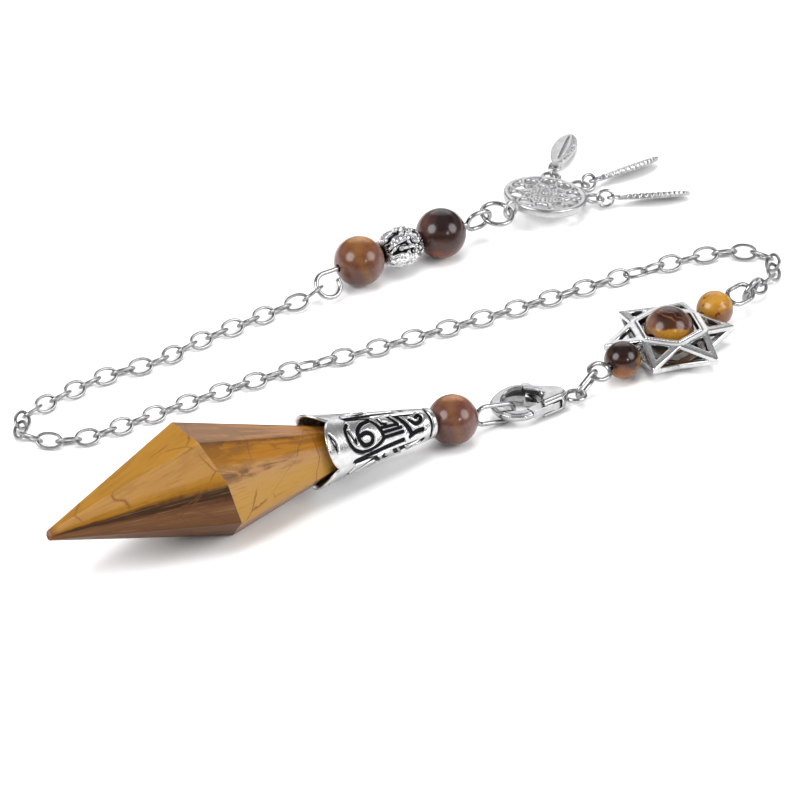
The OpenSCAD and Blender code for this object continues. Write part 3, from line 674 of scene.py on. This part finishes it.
class PENDANT_OT_cap(bpy.types.Operator):
    """Casts the bead cap with its swirls, frets and rounded petals"""

    bl_idname = "pendant.cap"
    bl_label = "Cap"

    def execute(self, context):
        looks, sizes = context.scene.pendant_looks, context.scene.pendant_sizes
        relief = sizes.relief / MM
        angle = np.arange(CAP_COLUMNS) * math.tau / CAP_COLUMNS
        quarter = (np.degrees(angle) - ORNAMENT_TURN + 45) % 90 - 45

        # Rows run down the cone, then out to the round edge of the petals
        across = np.abs((CAP_RIM_R + PETAL_R) / 2 * np.sin(np.radians(quarter)))
        end = CAP_LEN + PETAL_FOOT + np.sqrt(np.maximum((PETAL_LEN - PETAL_FOOT) ** 2 - across**2, 0))
        step = np.linspace(0, 1, CAP_ROWS)[:, None]
        share = np.clip((step - CONE_ROWS) / PETAL_ROWS, 0, 1)
        petal = CAP_LEN + share * (end[None, :] - CAP_LEN)
        along = np.where(step < CONE_ROWS, step / CONE_ROWS * CAP_LEN, petal)
        cone = CAP_END_R + (CAP_RIM_R - CAP_END_R) * along / CAP_LEN
        past = np.clip((along - CAP_LEN) / PETAL_LEN, 0, 1)
        flare = CAP_RIM_R + (PETAL_R + PETAL_T - CAP_RIM_R) * past + PETAL_CURL * past**3
        outer = np.where(along > CAP_LEN, flare, cone)

        # Grooves with a slightly uneven floor, but for the ball in the swirl
        arc = np.radians(quarter)[None, :] * outer
        depth = groove_depth(along, arc, CAP_GROOVES)
        ball = np.hypot(along - CAP_BALL[0], arc - CAP_BALL[1])
        depth = np.minimum(depth, smoothstep(CAP_BALL[2] * 0.8, CAP_BALL[2] * 1.1, ball))
        ripple = np.sin(along * 5.1 + arc * 3.7) * np.sin(arc * 6.3 - along * 2.9)
        depth = depth * (0.9 + 0.1 * ripple)

        small_end = 1 - smoothstep(0.0, END_ROUND[0], along)
        petal_edge = 1 - smoothstep(0.0, PETAL_ROUND[0], end[None, :] - along)
        band = np.clip((along - BAND_AT) / BAND_STEP, 0, 1) * BAND_RISE
        radius = outer + band - relief * depth - END_ROUND[1] * small_end**2
        radius = radius - petal_edge * PETAL_ROUND[1]
        inner = np.where(along > CAP_LEN, outer - PETAL_T, outer - relief - CAP_WALL * 0.8)
        inner = np.maximum(inner, BORE_MIN_R)
        back = list(range(CAP_ROWS - 1, -1, -INNER_STEP)) + [0]
        points = np.concatenate(
            (turned_points(along, radius, angle), turned_points(along[back], inner[back], angle))
        )
        # Painted shade: the inside of the cone is blackened beyond the petals' inside
        inside = PETAL_BLACK + CONE_INSIDE_SHADE * (along[back] < CAP_LEN)
        mesh = mesh_from("cast_cap", points, grid_faces(CAP_ROWS + len(back), CAP_COLUMNS), place("cap"))
        set_recess(mesh, np.concatenate((depth.ravel(), inside.ravel())))
        finish = cast_finish("cast_silver_cap", looks, tone=1.2, rough=0.24)
        add_piece("cap_casting", mesh, "pendant", finish, ["bead_cap"])
        return {"FINISHED"}


# Beads


UP, SIDE = (0, 0.52, 0.85), (1, 0, 0)
# Painted reflection of the pale floor at a bead's sides
SIDE_REFLECTION = (0.22, 0.115, 0.10)

# Look of each bead: a ramp from its underside up, then bands as direction, middle, width, colour and
# strength; up is given where it is not the usual one
# The mauve and grey bands at the sides are painted reflections of the floor and painted highlights
BEAD_LOOKS = {
    "pendulum_bead": {
        "base": [(0.05, (0.10, 0.035, 0.025)), (0.4, (0.13, 0.055, 0.04)), (0.72, (0.12, 0.045, 0.03)),
                 (1.0, (0.20, 0.07, 0.03))],
        "bands": [(UP, 0.90, 0.2, (0.42, 0.17, 0.03), 0.75),
                  ((0.9, 0.3, 0.2), -0.1, 0.35, (0.19, 0.085, 0.03), 0.7),
                  # Painted reflections of the floor at the right and left sides
                  (SIDE, 0.75, 0.4, SIDE_REFLECTION, 0.6), (SIDE, -0.8, 0.45, SIDE_REFLECTION, 0.7)],
    },
    "strand_bead_1": {
        "base": [(0.05, (0.09, 0.028, 0.018)), (0.45, (0.15, 0.06, 0.03)), (0.8, (0.18, 0.07, 0.025)),
                 (1.0, (0.30, 0.12, 0.02))],
        "bands": [(UP, 0.93, 0.2, (0.42, 0.19, 0.02), 0.8),
                  ((0.9, 0.2, 0.3), 0.05, 0.3, (0.22, 0.10, 0.02), 0.7),
                  # Painted reflections of the floor at the right and left sides
                  (SIDE, 0.85, 0.4, SIDE_REFLECTION, 0.7), (SIDE, -0.85, 0.4, SIDE_REFLECTION, 0.6)],
    },
    "strand_bead_2": {
        "base": [(0.0, (0.20, 0.045, 0.012)), (0.16, (0.075, 0.02, 0.010)), (0.4, (0.032, 0.012, 0.009)),
                 (0.7, (0.015, 0.006, 0.005)), (1.0, (0.008, 0.004, 0.004))],
        # Painted reflections of the floor at the left and right sides
        "bands": [((-1, 0.1, 0.2), 0.85, 0.55, (0.15, 0.07, 0.06), 0.7),
                  (SIDE, 0.85, 0.3, (0.08, 0.04, 0.036), 0.5)],
    },
    "small_bead_1": {
        "base": [(0.0, (0.38, 0.15, 0.02)), (0.18, (0.22, 0.075, 0.012)), (0.36, (0.030, 0.008, 0.004)),
                 (0.8, (0.010, 0.003, 0.002)), (1.0, (0.03, 0.012, 0.010))],
        "bands": [((1, 0.2, -0.3), 0.85, 0.38, (0.34, 0.19, 0.05), 0.85),
                  # Painted highlight at the left side
                  (SIDE, -0.85, 0.35, (0.10, 0.05, 0.045), 0.6)],
    },
    "small_bead_2": {
        "up": (-0.5, 0.4, 0.8),
        "base": [(0.0, (0.17, 0.085, 0.065)), (0.25, (0.26, 0.12, 0.05)), (0.42, (0.46, 0.22, 0.02)),
                 (0.75, (0.52, 0.29, 0.03)), (1.0, (0.44, 0.22, 0.03))],
        "bands": [((1, 0.1, 0.1), 0.1, 0.3, (0.40, 0.16, 0.012), 0.35),
                  ((-1, 0.1, -0.2), 0.8, 0.5, (0.36, 0.20, 0.09), 0.7),
                  # Painted reflection of the floor at the lower right
                  ((0.7, 0, -0.7), 0.85, 0.4, (0.24, 0.13, 0.12), 0.8)],
        "spots": 0.9,
    },
    "star_bead": {
        "base": [(0.0, (0.20, 0.10, 0.05)), (0.2, (0.43, 0.225, 0.020)), (0.49, (0.42, 0.205, 0.016)),
                 (0.57, (0.07, 0.025, 0.010)), (0.85, (0.02, 0.006, 0.003)), (1.0, (0.05, 0.015, 0.006))],
        # Painted reflection of the floor at the left side in the first band
        "bands": [((-0.9, 0.2, -0.2), 0.62, 0.6, (0.26, 0.15, 0.10), 0.95),
                  ((0.45, 0.45, 0.77), 0.50, 0.04, (0.26, 0.08, 0.015), 0.75),
                  ((0.45, 0.45, 0.77), 0.68, 0.03, (0.22, 0.08, 0.02), 0.7),
                  # Painted highlight at the right side
                  ((0.9, 0.3, 0.2), 0.85, 0.35, (0.14, 0.085, 0.07), 0.7)],
    },
}


class PENDANT_OT_beads(bpy.types.Operator):
    """Gives each polished bead its bands and colours"""

    bl_idname = "pendant.beads"
    bl_label = "Beads"

    def execute(self, context):
        for node, look in BEAD_LOOKS.items():
            dress(NODES[node].data, bead_finish(node + "_polish", node, look))
        return {"FINISHED"}


# Chain, pins and rings


def loose_parts(mesh):
    """Points of each part of a mesh that hangs together."""
    points, (a, b) = points_of(mesh), edges_of(mesh).T
    part = np.arange(len(points))
    while (part[a] != part[b]).any():
        first = np.minimum(part[a], part[b])
        np.minimum.at(part, a, first)
        np.minimum.at(part, b, first)
    return [points[part == k] for k in np.unique(part)]


class PENDANT_OT_chain(bpy.types.Operator):
    """Bends the chain's links from round wire where the frame has them"""

    bl_idname = "pendant.chain"
    bl_label = "Chain"

    def execute(self, context):
        looks, sizes = context.scene.pendant_looks, context.scene.pendant_sizes
        size = (sizes.link_length, sizes.link_width, sizes.link_wire)
        pattern, loop = wire_loop(*size, around=32, sides=9, full=0.93, shift=0)
        points, faces = [], []
        for link in loose_parts(cad_mesh("chain", "links", False)):
            centre = link.mean(0)
            _, _, axes = np.linalg.svd(link - centre, full_matrices=False)
            if np.linalg.det(axes) < 0:
                axes[2] *= -1
            start = len(points)
            points.extend(pattern @ axes + centre)
            faces.extend(tuple(start + i for i in face) for face in loop)
        mesh = mesh_from("wire_links", points, faces)
        finish = wire_finish("plated_chain", looks, tone=0.68, rough=looks.polish * 1.5)
        add_piece("chain_links", mesh, "pendant", finish, ["chain"])
        return {"FINISHED"}


class PENDANT_OT_findings(bpy.types.Operator):
    """Plates the pins and rings"""

    bl_idname = "pendant.findings"
    bl_label = "Pins and rings"

    WIRES = ("pendulum_pin", "clasp_link", "star_pin", "star_ring", "strand_pin", "charm_ring",
             "feather_ring_1", "feather_ring_2", "feather_ring_3")

    def execute(self, context):
        looks = context.scene.pendant_looks
        finish = wire_finish("plated_wire", looks, tone=0.75, rough=looks.polish * 1.2)
        for name in self.WIRES:
            dress(NODES[name].data, finish)
        return {"FINISHED"}


# Clasp


# Outline and opening in the clasp's own plane: two discs, each a middle and a radius, joined by tangents
CLASP_OUTLINE = ((3.25, 0.0), 3.25, (8.1, 0.0), 1.5)
CLASP_OPENING = ((3.45, 0.0), 1.95, (5.4, 0.0), 1.0)
# Along the clasp: where the far arm starts to thicken, where the cheeks start, their end and their ring
ARM_AT, CHEEK_AT, CHEEK_END, CLASP_RING_AT = 0.6, 4.65, 8, 9.0
# Half widths of the lever's slot, the hook and the cheeks, and the width of their rounded edges
CLASP_SLOT, HOOK_HALF, CHEEK_HALF, CLASP_ROUND = 0.62, 0.6, 1.3, 0.85
# Share of the thickness left at the edge of the cheeks and of the hook
CHEEK_EDGE, HOOK_EDGE = 0.25, 0.55
# Cast line on the far arm: distance from the opening, width and blackness
LINE_AT, LINE_W, LINE_BLACK = 0.42, 0.06, 0.8


def taper_gap(u, v, shape):
    """Distance from two discs joined by their tangents, negative inside."""
    (x1, y1), r1, (x2, y2), r2 = shape
    length = math.hypot(x2 - x1, y2 - y1)
    along, off = u - x1, np.abs(v - y1)
    lean = (r1 - r2) / length
    cos = math.sqrt(1 - lean * lean)
    foot = along * cos - off * lean
    gap = along * lean + off * cos - r1
    gap = np.where(foot < 0, np.hypot(along, off) - r1, gap)
    return np.where(foot > length * cos, np.hypot(along - length, off) - r2, gap)


class PENDANT_OT_clasp(bpy.types.Operator):
    """Rounds and polishes the clasp and its lever, with painted shade on the inner wall of its opening"""

    bl_idname = "pendant.clasp"
    bl_label = "Clasp"

    PARTS = (("clasp_body", "pendant", "clasp_hook"), ("clasp_lever", "lever", "clasp_gate"))

    def execute(self, context):
        looks = context.scene.pendant_looks
        finish = cast_finish("polished_clasp", looks, tone=0.88, rough=looks.polish * 1.2, black=0.9)
        to_world = place("clasp")
        for node, body, name in self.PARTS:
            mesh = cast(name, [node_in_mm(node)], 0.07, 3)
            mesh.transform(to_world.inverted())
            points = points_of(mesh)
            u, v, z = points.T
            wall = taper_gap(u, v, CLASP_OPENING)
            far = smoothstep(-0.3, 0.9, v)
            inside = np.minimum(-taper_gap(u, v, CLASP_OUTLINE), wall + 2 * CLASP_ROUND * far)
            dome = np.sqrt(1 - (1 - np.clip(inside / CLASP_ROUND, 0, 1)) ** 2)
            high = np.abs(z) - CLASP_SLOT
            cheek = np.sign(z) * (CLASP_SLOT + high * (CHEEK_EDGE + (1 - CHEEK_EDGE) * dome))
            arm = smoothstep(ARM_AT, CHEEK_AT, u) * far
            hook = z * (HOOK_EDGE + (1 - HOOK_EDGE) * dome) * (1 + (CHEEK_HALF / HOOK_HALF - 1) * arm)
            shaped = np.where(u > CHEEK_AT - 0.1, np.where(high > 0, cheek, z), hook)
            points[:, 2] = np.where((u > CLASP_RING_AT) | (node == "clasp_lever"), z, shaped)
            if node == "clasp_body":
                shade = np.empty(len(points))
                mesh.attributes["recess"].data.foreach_get("value", shade)
                # Painted shade on the inner wall of the opening, along the far arm up to the cheeks' end
                inner = smoothstep(1.5, 3.0, u) * far * (wall < 0.15) * (u < CHEEK_END)
                inner = inner * smoothstep(0.0, 0.3, points[:, 2]) * (points[:, 2] < 1.1)
                line = LINE_BLACK * arm * (u < CHEEK_END) * np.exp(-(((wall - LINE_AT) / LINE_W) ** 2))
                line = line * (points[:, 2] > 0.5)
                shade = np.clip(np.maximum(shade, np.maximum(inner, line)), 0, 1)
                mesh.attributes["recess"].data.foreach_set("value", shade)
            mesh.vertices.foreach_set("co", points.ravel())
            mesh.update()
            mesh.transform(to_world)
            add_piece(name, mesh, body, finish, [node])
        return {"FINISHED"}


# Star


# The six flaps: turn between them, then where each starts and where the middle of its window lies
FLAP_TURN, FLAP_FOOT, FLAP_MIDDLE = math.pi / 3, 4.15, 5.6


class PENDANT_OT_star(bpy.types.Operator):
    """Casts the pierced star with painted shade on its window walls"""

    bl_idname = "pendant.star"
    bl_label = "Star"

    def execute(self, context):
        looks = context.scene.pendant_looks
        mesh = cast("star_casting", [node_in_mm("star_frame")], 0.09, 4, swell=0.07)
        to_own = place("star").inverted()
        spin = to_own.normalized().to_3x3()
        # Painted shade: points whose face turns towards the middle of a window get a higher recess share
        for vert, share in zip(mesh.vertices, mesh.attributes["recess"].data):
            at = (to_own @ vert.co).to_2d()
            facing = (spin @ vert.normal).to_2d()
            flap = round(math.atan2(at.y, at.x) / FLAP_TURN) * FLAP_TURN
            out = Vector((math.cos(flap), math.sin(flap)))
            window = out * FLAP_MIDDLE if at.dot(out) > FLAP_FOOT else Vector((0, 0))
            share.value = max(share.value, smoothstep(0.4, 0.8, facing.dot((window - at).normalized())))
        finish = cast_finish("star_silver", looks, tone=1.18, rough=looks.polish * 1.3, black=0.95)
        add_piece("star_casting", mesh, "pendant", finish, ["star_frame"])
        return {"FINISHED"}


# Carved bead


CARVED_LEN, CARVED_R, CARVED_HOLE_R, CARVED_BULGE, CARVED_RELIEF = 5.7, 2.6, 0.5, 0.78, 0.5
CARVED_COLUMNS, CARVED_ROWS, CARVED_SEED = 260, 150, 12
# Scale of the noises that bend the ridges, raise them, pit them and roughen them
BEND_SCALE, RIDGE_SCALE, PIT_SCALE, GRAIN_SCALE = 0.7, 1.35, 2.3, 2.0
BEND_REACH, RIDGE_STRETCH, PIT_SHIFT = 0.6, 0.6, Vector((7, 3, 1))


def carved_rise(at):
    """Height of the ridges at a point of the barrel, as a share of the relief."""
    bend = noise.noise_vector(at * BEND_SCALE) * BEND_REACH
    stretched = Vector((at.x * RIDGE_STRETCH, at.y, at.z)) + bend
    crease = smoothstep(0.03, 0.22, abs(noise.noise(stretched * RIDGE_SCALE)))
    pit = smoothstep(0.0, 0.16, abs(noise.noise(stretched * PIT_SCALE + PIT_SHIFT)))
    return float(min(crease, 0.35 + 0.65 * pit)) * (0.85 + 0.3 * noise.noise(at * GRAIN_SCALE))


class PENDANT_OT_carved(bpy.types.Operator):
    """Casts the barrel bead with its rough twisting ridges"""

    bl_idname = "pendant.carved"
    bl_label = "Carved bead"

    def execute(self, context):
        looks = context.scene.pendant_looks
        noise.seed_set(CARVED_SEED)
        half = CARVED_LEN / 2
        turns = [j * math.tau / CARVED_COLUMNS for j in range(CARVED_COLUMNS)]
        points, recess = [], []
        for i in range(CARVED_ROWS):
            x = CARVED_LEN * (i / (CARVED_ROWS - 1) - 0.5)
            bulge = math.sqrt(max(1 - (x / half) ** 2 * CARVED_BULGE, 0))
            edge = smoothstep(0, 0.35, half - abs(x))
            for a in turns:
                rise = carved_rise(Vector((x, CARVED_R * math.cos(a), CARVED_R * math.sin(a))))
                r = CARVED_R * bulge - CARVED_RELIEF + CARVED_RELIEF * rise * edge
                points.append((x, r * math.cos(a), r * math.sin(a)))
                recess.append(0.85 - 0.75 * rise * edge)
        for x in (half, -half):
            points.extend((x, CARVED_HOLE_R * math.cos(a), CARVED_HOLE_R * math.sin(a)) for a in turns)
            recess.extend([0.7] * CARVED_COLUMNS)
        faces = grid_faces(CARVED_ROWS + 2, CARVED_COLUMNS)
        mesh = mesh_from("carved_barrel", points, faces, place("carved"))
        set_recess(mesh, recess)
        finish = cast_finish("carved_silver", looks, tone=1.45, rough=0.2)
        add_piece("carved_barrel", mesh, "pendant", finish, ["carved_bead"])
        return {"FINISHED"}


# Charm


CHARM_R, RIM_W, RIM_T, RIM_SQUARE, WEB_COUNT = 5.2, 0.78, 1.1, 0.6, 10
# Rows of strand loops: distance from the middle, radial and sideways half widths, turn in steps
WEB_ROWS = [(3.56, 1.02, 1.0, 0.0), (2.33, 0.62, 0.66, 0.5), (1.47, 0.40, 0.43, 0.0)]
# Strands: radius of the wire, height, how much they wave, and points along each
STRAND_R, WEB_RISE, STRAND_WAVE, STRAND_STEPS = 0.26, 0.24, 0.04, 28
MIDDLE_W, MIDDLE_WIRE, LOOP_W, LOOP_WIRE = 1.75, 0.5, 2.6, 0.5
LOOP_FAN = (35.5, -2, -39.5)


def charm_strands():
    """Rings of overlapping loops that make up the web."""
    strands = []
    for row, (middle, deep, wide, shift) in enumerate(WEB_ROWS):
        for k in range(WEB_COUNT):
            turn = (k + shift) * math.tau / WEB_COUNT
            cos, sin = math.cos(turn), math.sin(turn)
            path = []
            for n in range(STRAND_STEPS):
                a = n * math.tau / STRAND_STEPS
                x, y = middle + deep * math.cos(a), wide * math.sin(a)
                z = WEB_RISE + STRAND_WAVE * math.sin(3 * a + row)
                path.append((x * cos - y * sin, x * sin + y * cos, z))
            strands.append(tube(path, STRAND_R))
    return strands


class PENDANT_OT_charm(bpy.types.Operator):
    """Casts the woven charm with its rim and loops"""

    bl_idname = "pendant.charm"
    bl_label = "Charm"

    def execute(self, context):
        rim = ring_mesh(2 * CHARM_R, RIM_W, high=RIM_T, square=RIM_SQUARE, around=120, sides=16, shift=0)
        parts = [rim, *charm_strands(), ring_mesh(MIDDLE_W, MIDDLE_WIRE, (0, 0, WEB_RISE))]
        at = CHARM_R + LOOP_W / 2 - LOOP_WIRE / 2
        for a in map(math.radians, LOOP_FAN):
            parts.append(ring_mesh(LOOP_W, LOOP_WIRE, (at * math.cos(a), at * math.sin(a), 0)))
        parts.append(ring_mesh(LOOP_W, LOOP_WIRE, (-at, 0, 0), stand=90))
        mesh = cast("woven_charm", parts, 0.08, 2, 20, 0.14)
        mesh.transform(place("charm") @ Matrix.Scale(1 / MM, 4))
        finish = cast_finish("charm_silver", context.scene.pendant_looks, tone=1.0, rough=0.3, black=0.3)
        add_piece("woven_charm", mesh, "pendant", finish, ["charm"])
        return {"FINISHED"}


# Feathers


FEATHER_LEN, FEATHER_W, FEATHER_T, BARBS, BARB_LEAN = 9.2, 3.0, 0.8, 13, 0.55
FEATHER_EYE_W, FEATHER_EYE_WIRE = 1.7, 0.45
FEATHER_ROWS, FEATHER_COLUMNS = 150, 41
# Outline: where its widest point shifts to and how blunt its ends are
VANE_SHIFT, VANE_BLUNT = 1.25, 0.5
# Heights: the dome, the pearls along one edge, the dips between them and the groove of the vein
DOME_RISE, PEARL_RISE, PEARL_DIP, VEIN_DIP, VEIN_W = 0.10, 0.26, 0.44, 0.16, 0.1
# Quill: radius at the eye, how much it thins, its share of the vane, how far back it starts, its steps
QUILL_R, QUILL_THIN, QUILL_SHARE, QUILL_BACK, QUILL_STEPS = 0.34, 0.18, 0.25, 0.3, 20


def vane_mesh(start):
    """Leaf-shaped vane with its ribs, pearls and vein, from a start along X."""
    points = []
    for i in range(FEATHER_ROWS):
        top, low = [], []
        t = 0.004 + 0.992 * i / (FEATHER_ROWS - 1)
        half = FEATHER_W / 2 * math.sin(math.pi * t**VANE_SHIFT) ** VANE_BLUNT
        fade = smoothstep(0.0, 0.16, 1 - t)
        for j in range(FEATHER_COLUMNS):
            share = 2 * j / (FEATHER_COLUMNS - 1) - 1
            off = abs(share)
            phase = (t * BARBS - off * half * BARB_LEAN) % 1.0
            groove = smoothstep(0.25, 0.5, abs(phase - 0.5))
            edge = smoothstep(0.42, 0.66, -share) * (1 - smoothstep(0.94, 1.0, -share))
            x, y = start + FEATHER_LEN * t, half * share * (1 - 0.05 * groove * off**4)
            pearl = edge * fade * (PEARL_RISE - PEARL_DIP * groove)
            vein = VEIN_DIP * fade * math.exp(-((share / VEIN_W) ** 2))
            rib = 0.05 * groove * off
            top.append((x, y, FEATHER_T * 0.14 + (1 - off**2) * DOME_RISE + pearl - rib - vein))
            low.append((x, y, -FEATHER_T / 2 + 0.12 * off**2))
        points += top + low[::-1]

    # Quads at the sides and below are split along their other diagonal
    columns = 2 * FEATHER_COLUMNS
    faces = grid_faces(FEATHER_ROWS, columns, False)
    faces = [f[1:] + f[:1] if f[0] % columns > FEATHER_COLUMNS - 2 else f for f in faces]
    return mesh_from("vane", points, faces)


class PENDANT_OT_feathers(bpy.types.Operator):
    """Casts the three ribbed feathers"""

    bl_idname = "pendant.feathers"
    bl_label = "Feathers"

    def execute(self, context):
        start = (FEATHER_EYE_W - FEATHER_EYE_WIRE) / 2
        steps = [k / QUILL_STEPS for k in range(QUILL_STEPS + 1)]
        quill = [(start - QUILL_BACK + FEATHER_LEN * QUILL_SHARE * k, 0, 0) for k in steps]
        stem = tube(quill, [QUILL_R - QUILL_THIN * k for k in steps], 12, False)
        parts = [vane_mesh(start), stem, ring_mesh(FEATHER_EYE_W, FEATHER_EYE_WIRE)]
        pattern = cast("feather", parts, 0.06, 1, 14, 0.07)
        finish = cast_finish("feather_silver", context.scene.pendant_looks, tone=1.0, rough=0.3, black=0.5)
        for name in ("feather_1", "feather_2", "feather_3"):
            mesh = pattern.copy()
            mesh.transform(place(name) @ Matrix.Scale(1 / MM, 4))
            add_piece(name + "_vane", mesh, "pendant", finish, [name])
        return {"FINISHED"}


# Stage


FLOOR_HALF = 2.0
# Lamps: place in metres, width in metres and power in watts
LAMPS = {
    "key": ((-0.60, -0.38, 0.56), 0.62, 7.0),
    "fill": ((0.73, -0.21, 0.49), 0.60, 5.4),
    "spark": ((0.38, -0.50, 0.31), 0.03, 0.4),
    "back": ((0.0, 0.85, 0.56), 0.95, 3.0),
    "overhead": ((0.0, 0.1, 1.0), 0.8, 8.0),
}
# Grey of the surroundings from straight below to straight above, and their strength
SKY = [(0.0, 0.5), (0.12, 0.05), (0.32, 0.3), (0.5, 0.75), (0.68, 0.1), (0.9, 0.45)]
SKY_POWER = 0.9
# Camera: degrees above the floor, metres away, lens in mm, and the point in mm that it looks at
CAMERA_TILT, CAMERA_FAR, CAMERA_LENS, CAMERA_AIM = 31.2, 2.4, 884.5, (0.04, -9.65, 0)


class PENDANT_OT_stage(bpy.types.Operator):
    """Sets the pale floor, the soft lights and the camera"""

    bl_idname = "pendant.stage"
    bl_label = "Stage"

    def execute(self, context):
        scene = context.scene
        f = Finish("pale_floor")
        speck = f.noise(f.coords(), scale=0.2, detail=2)
        f.shade(Base_Color=f.ramp(speck, [(0.3, 0.86), (0.7, 0.88)]), Roughness=0.7)
        corners = [(x * FLOOR_HALF, y * FLOOR_HALF, 0) for x, y in ((-1, -1), (1, -1), (1, 1), (-1, 1))]
        floor = bpy.data.objects.new("floor", mesh_from("floor", corners, [(0, 1, 2, 3)]))
        dress(floor.data, f.material)
        scene.collection.objects.link(floor)

        world = bpy.data.worlds.new("studio")
        scene.world = world
        world.use_nodes = True
        tree = world.node_tree
        back = tree.nodes["Background"]
        kinds = ("TexCoord", "SeparateXYZ", "ValToRGB")
        coord, split, ramp = (tree.nodes.new("ShaderNode" + kind) for kind in kinds)
        tree.links.new(coord.outputs["Generated"], split.inputs[0])
        tree.links.new(split.outputs["Z"], ramp.inputs[0])
        tree.links.new(ramp.outputs[0], back.inputs["Color"])
        set_stops(ramp.color_ramp, SKY)
        back.inputs["Strength"].default_value = SKY_POWER

        for name, (spot, size, power) in LAMPS.items():
            lamp = bpy.data.lights.new(name, "AREA")
            lamp.shape, lamp.size, lamp.energy = "DISK", size, power
            made = bpy.data.objects.new(name, lamp)
            made.location = spot
            made.rotation_euler = (-Vector(spot)).to_track_quat("-Z", "Y").to_euler()
            made.visible_glossy = name != "overhead"
            scene.collection.objects.link(made)

        camera = bpy.data.cameras.new("camera")
        camera.lens, camera.sensor_width, camera.clip_end = CAMERA_LENS, 36, 20
        eye = bpy.data.objects.new("camera", camera)
        tilt = math.radians(CAMERA_TILT)
        eye.location = Vector(CAMERA_AIM) * MM + Vector((0, -math.cos(tilt), math.sin(tilt))) * CAMERA_FAR
        eye.rotation_euler = (math.pi / 2 - tilt, 0, 0)
        scene.collection.objects.link(eye)
        scene.camera = eye
        scene.view_settings.view_transform = "Standard"
        return {"FINISHED"}


STEPS = (
    PENDANT_OT_stage, PENDANT_OT_stone, PENDANT_OT_cap, PENDANT_OT_beads, PENDANT_OT_chain,
    PENDANT_OT_findings, PENDANT_OT_clasp, PENDANT_OT_star, PENDANT_OT_carved, PENDANT_OT_charm,
    PENDANT_OT_feathers,
)


class PENDANT_PT_panel(bpy.types.Panel):
    """Lists the pieces of the pendant"""

    bl_idname = "PENDANT_PT_panel"
    bl_label = "Pendulum pendant"
    bl_space_type = "VIEW_3D"
    bl_region_type = "UI"
    bl_category = "Pendant"

    def draw(self, context):
        for group in (context.scene.pendant_looks, context.scene.pendant_sizes):
            for name in group.__annotations__:
                self.layout.prop(group, name)
        for step in STEPS:
            self.layout.operator(step.bl_idname)


CLASSES = (PendantLooks, PendantSizes, *STEPS, PENDANT_PT_panel)


def register():
    for item in CLASSES:
        bpy.utils.register_class(item)
    bpy.types.Scene.pendant_looks = PointerProperty(type=PendantLooks)
    bpy.types.Scene.pendant_sizes = PointerProperty(type=PendantSizes)


def unregister():
    del bpy.types.Scene.pendant_sizes
    del bpy.types.Scene.pendant_looks
    for item in reversed(CLASSES):
        bpy.utils.unregister_class(item)


def main():
    register()
    for step in STEPS:
        getattr(bpy.ops.pendant, step.bl_idname.split(".")[1])()


if __name__ == "__main__":
    main()
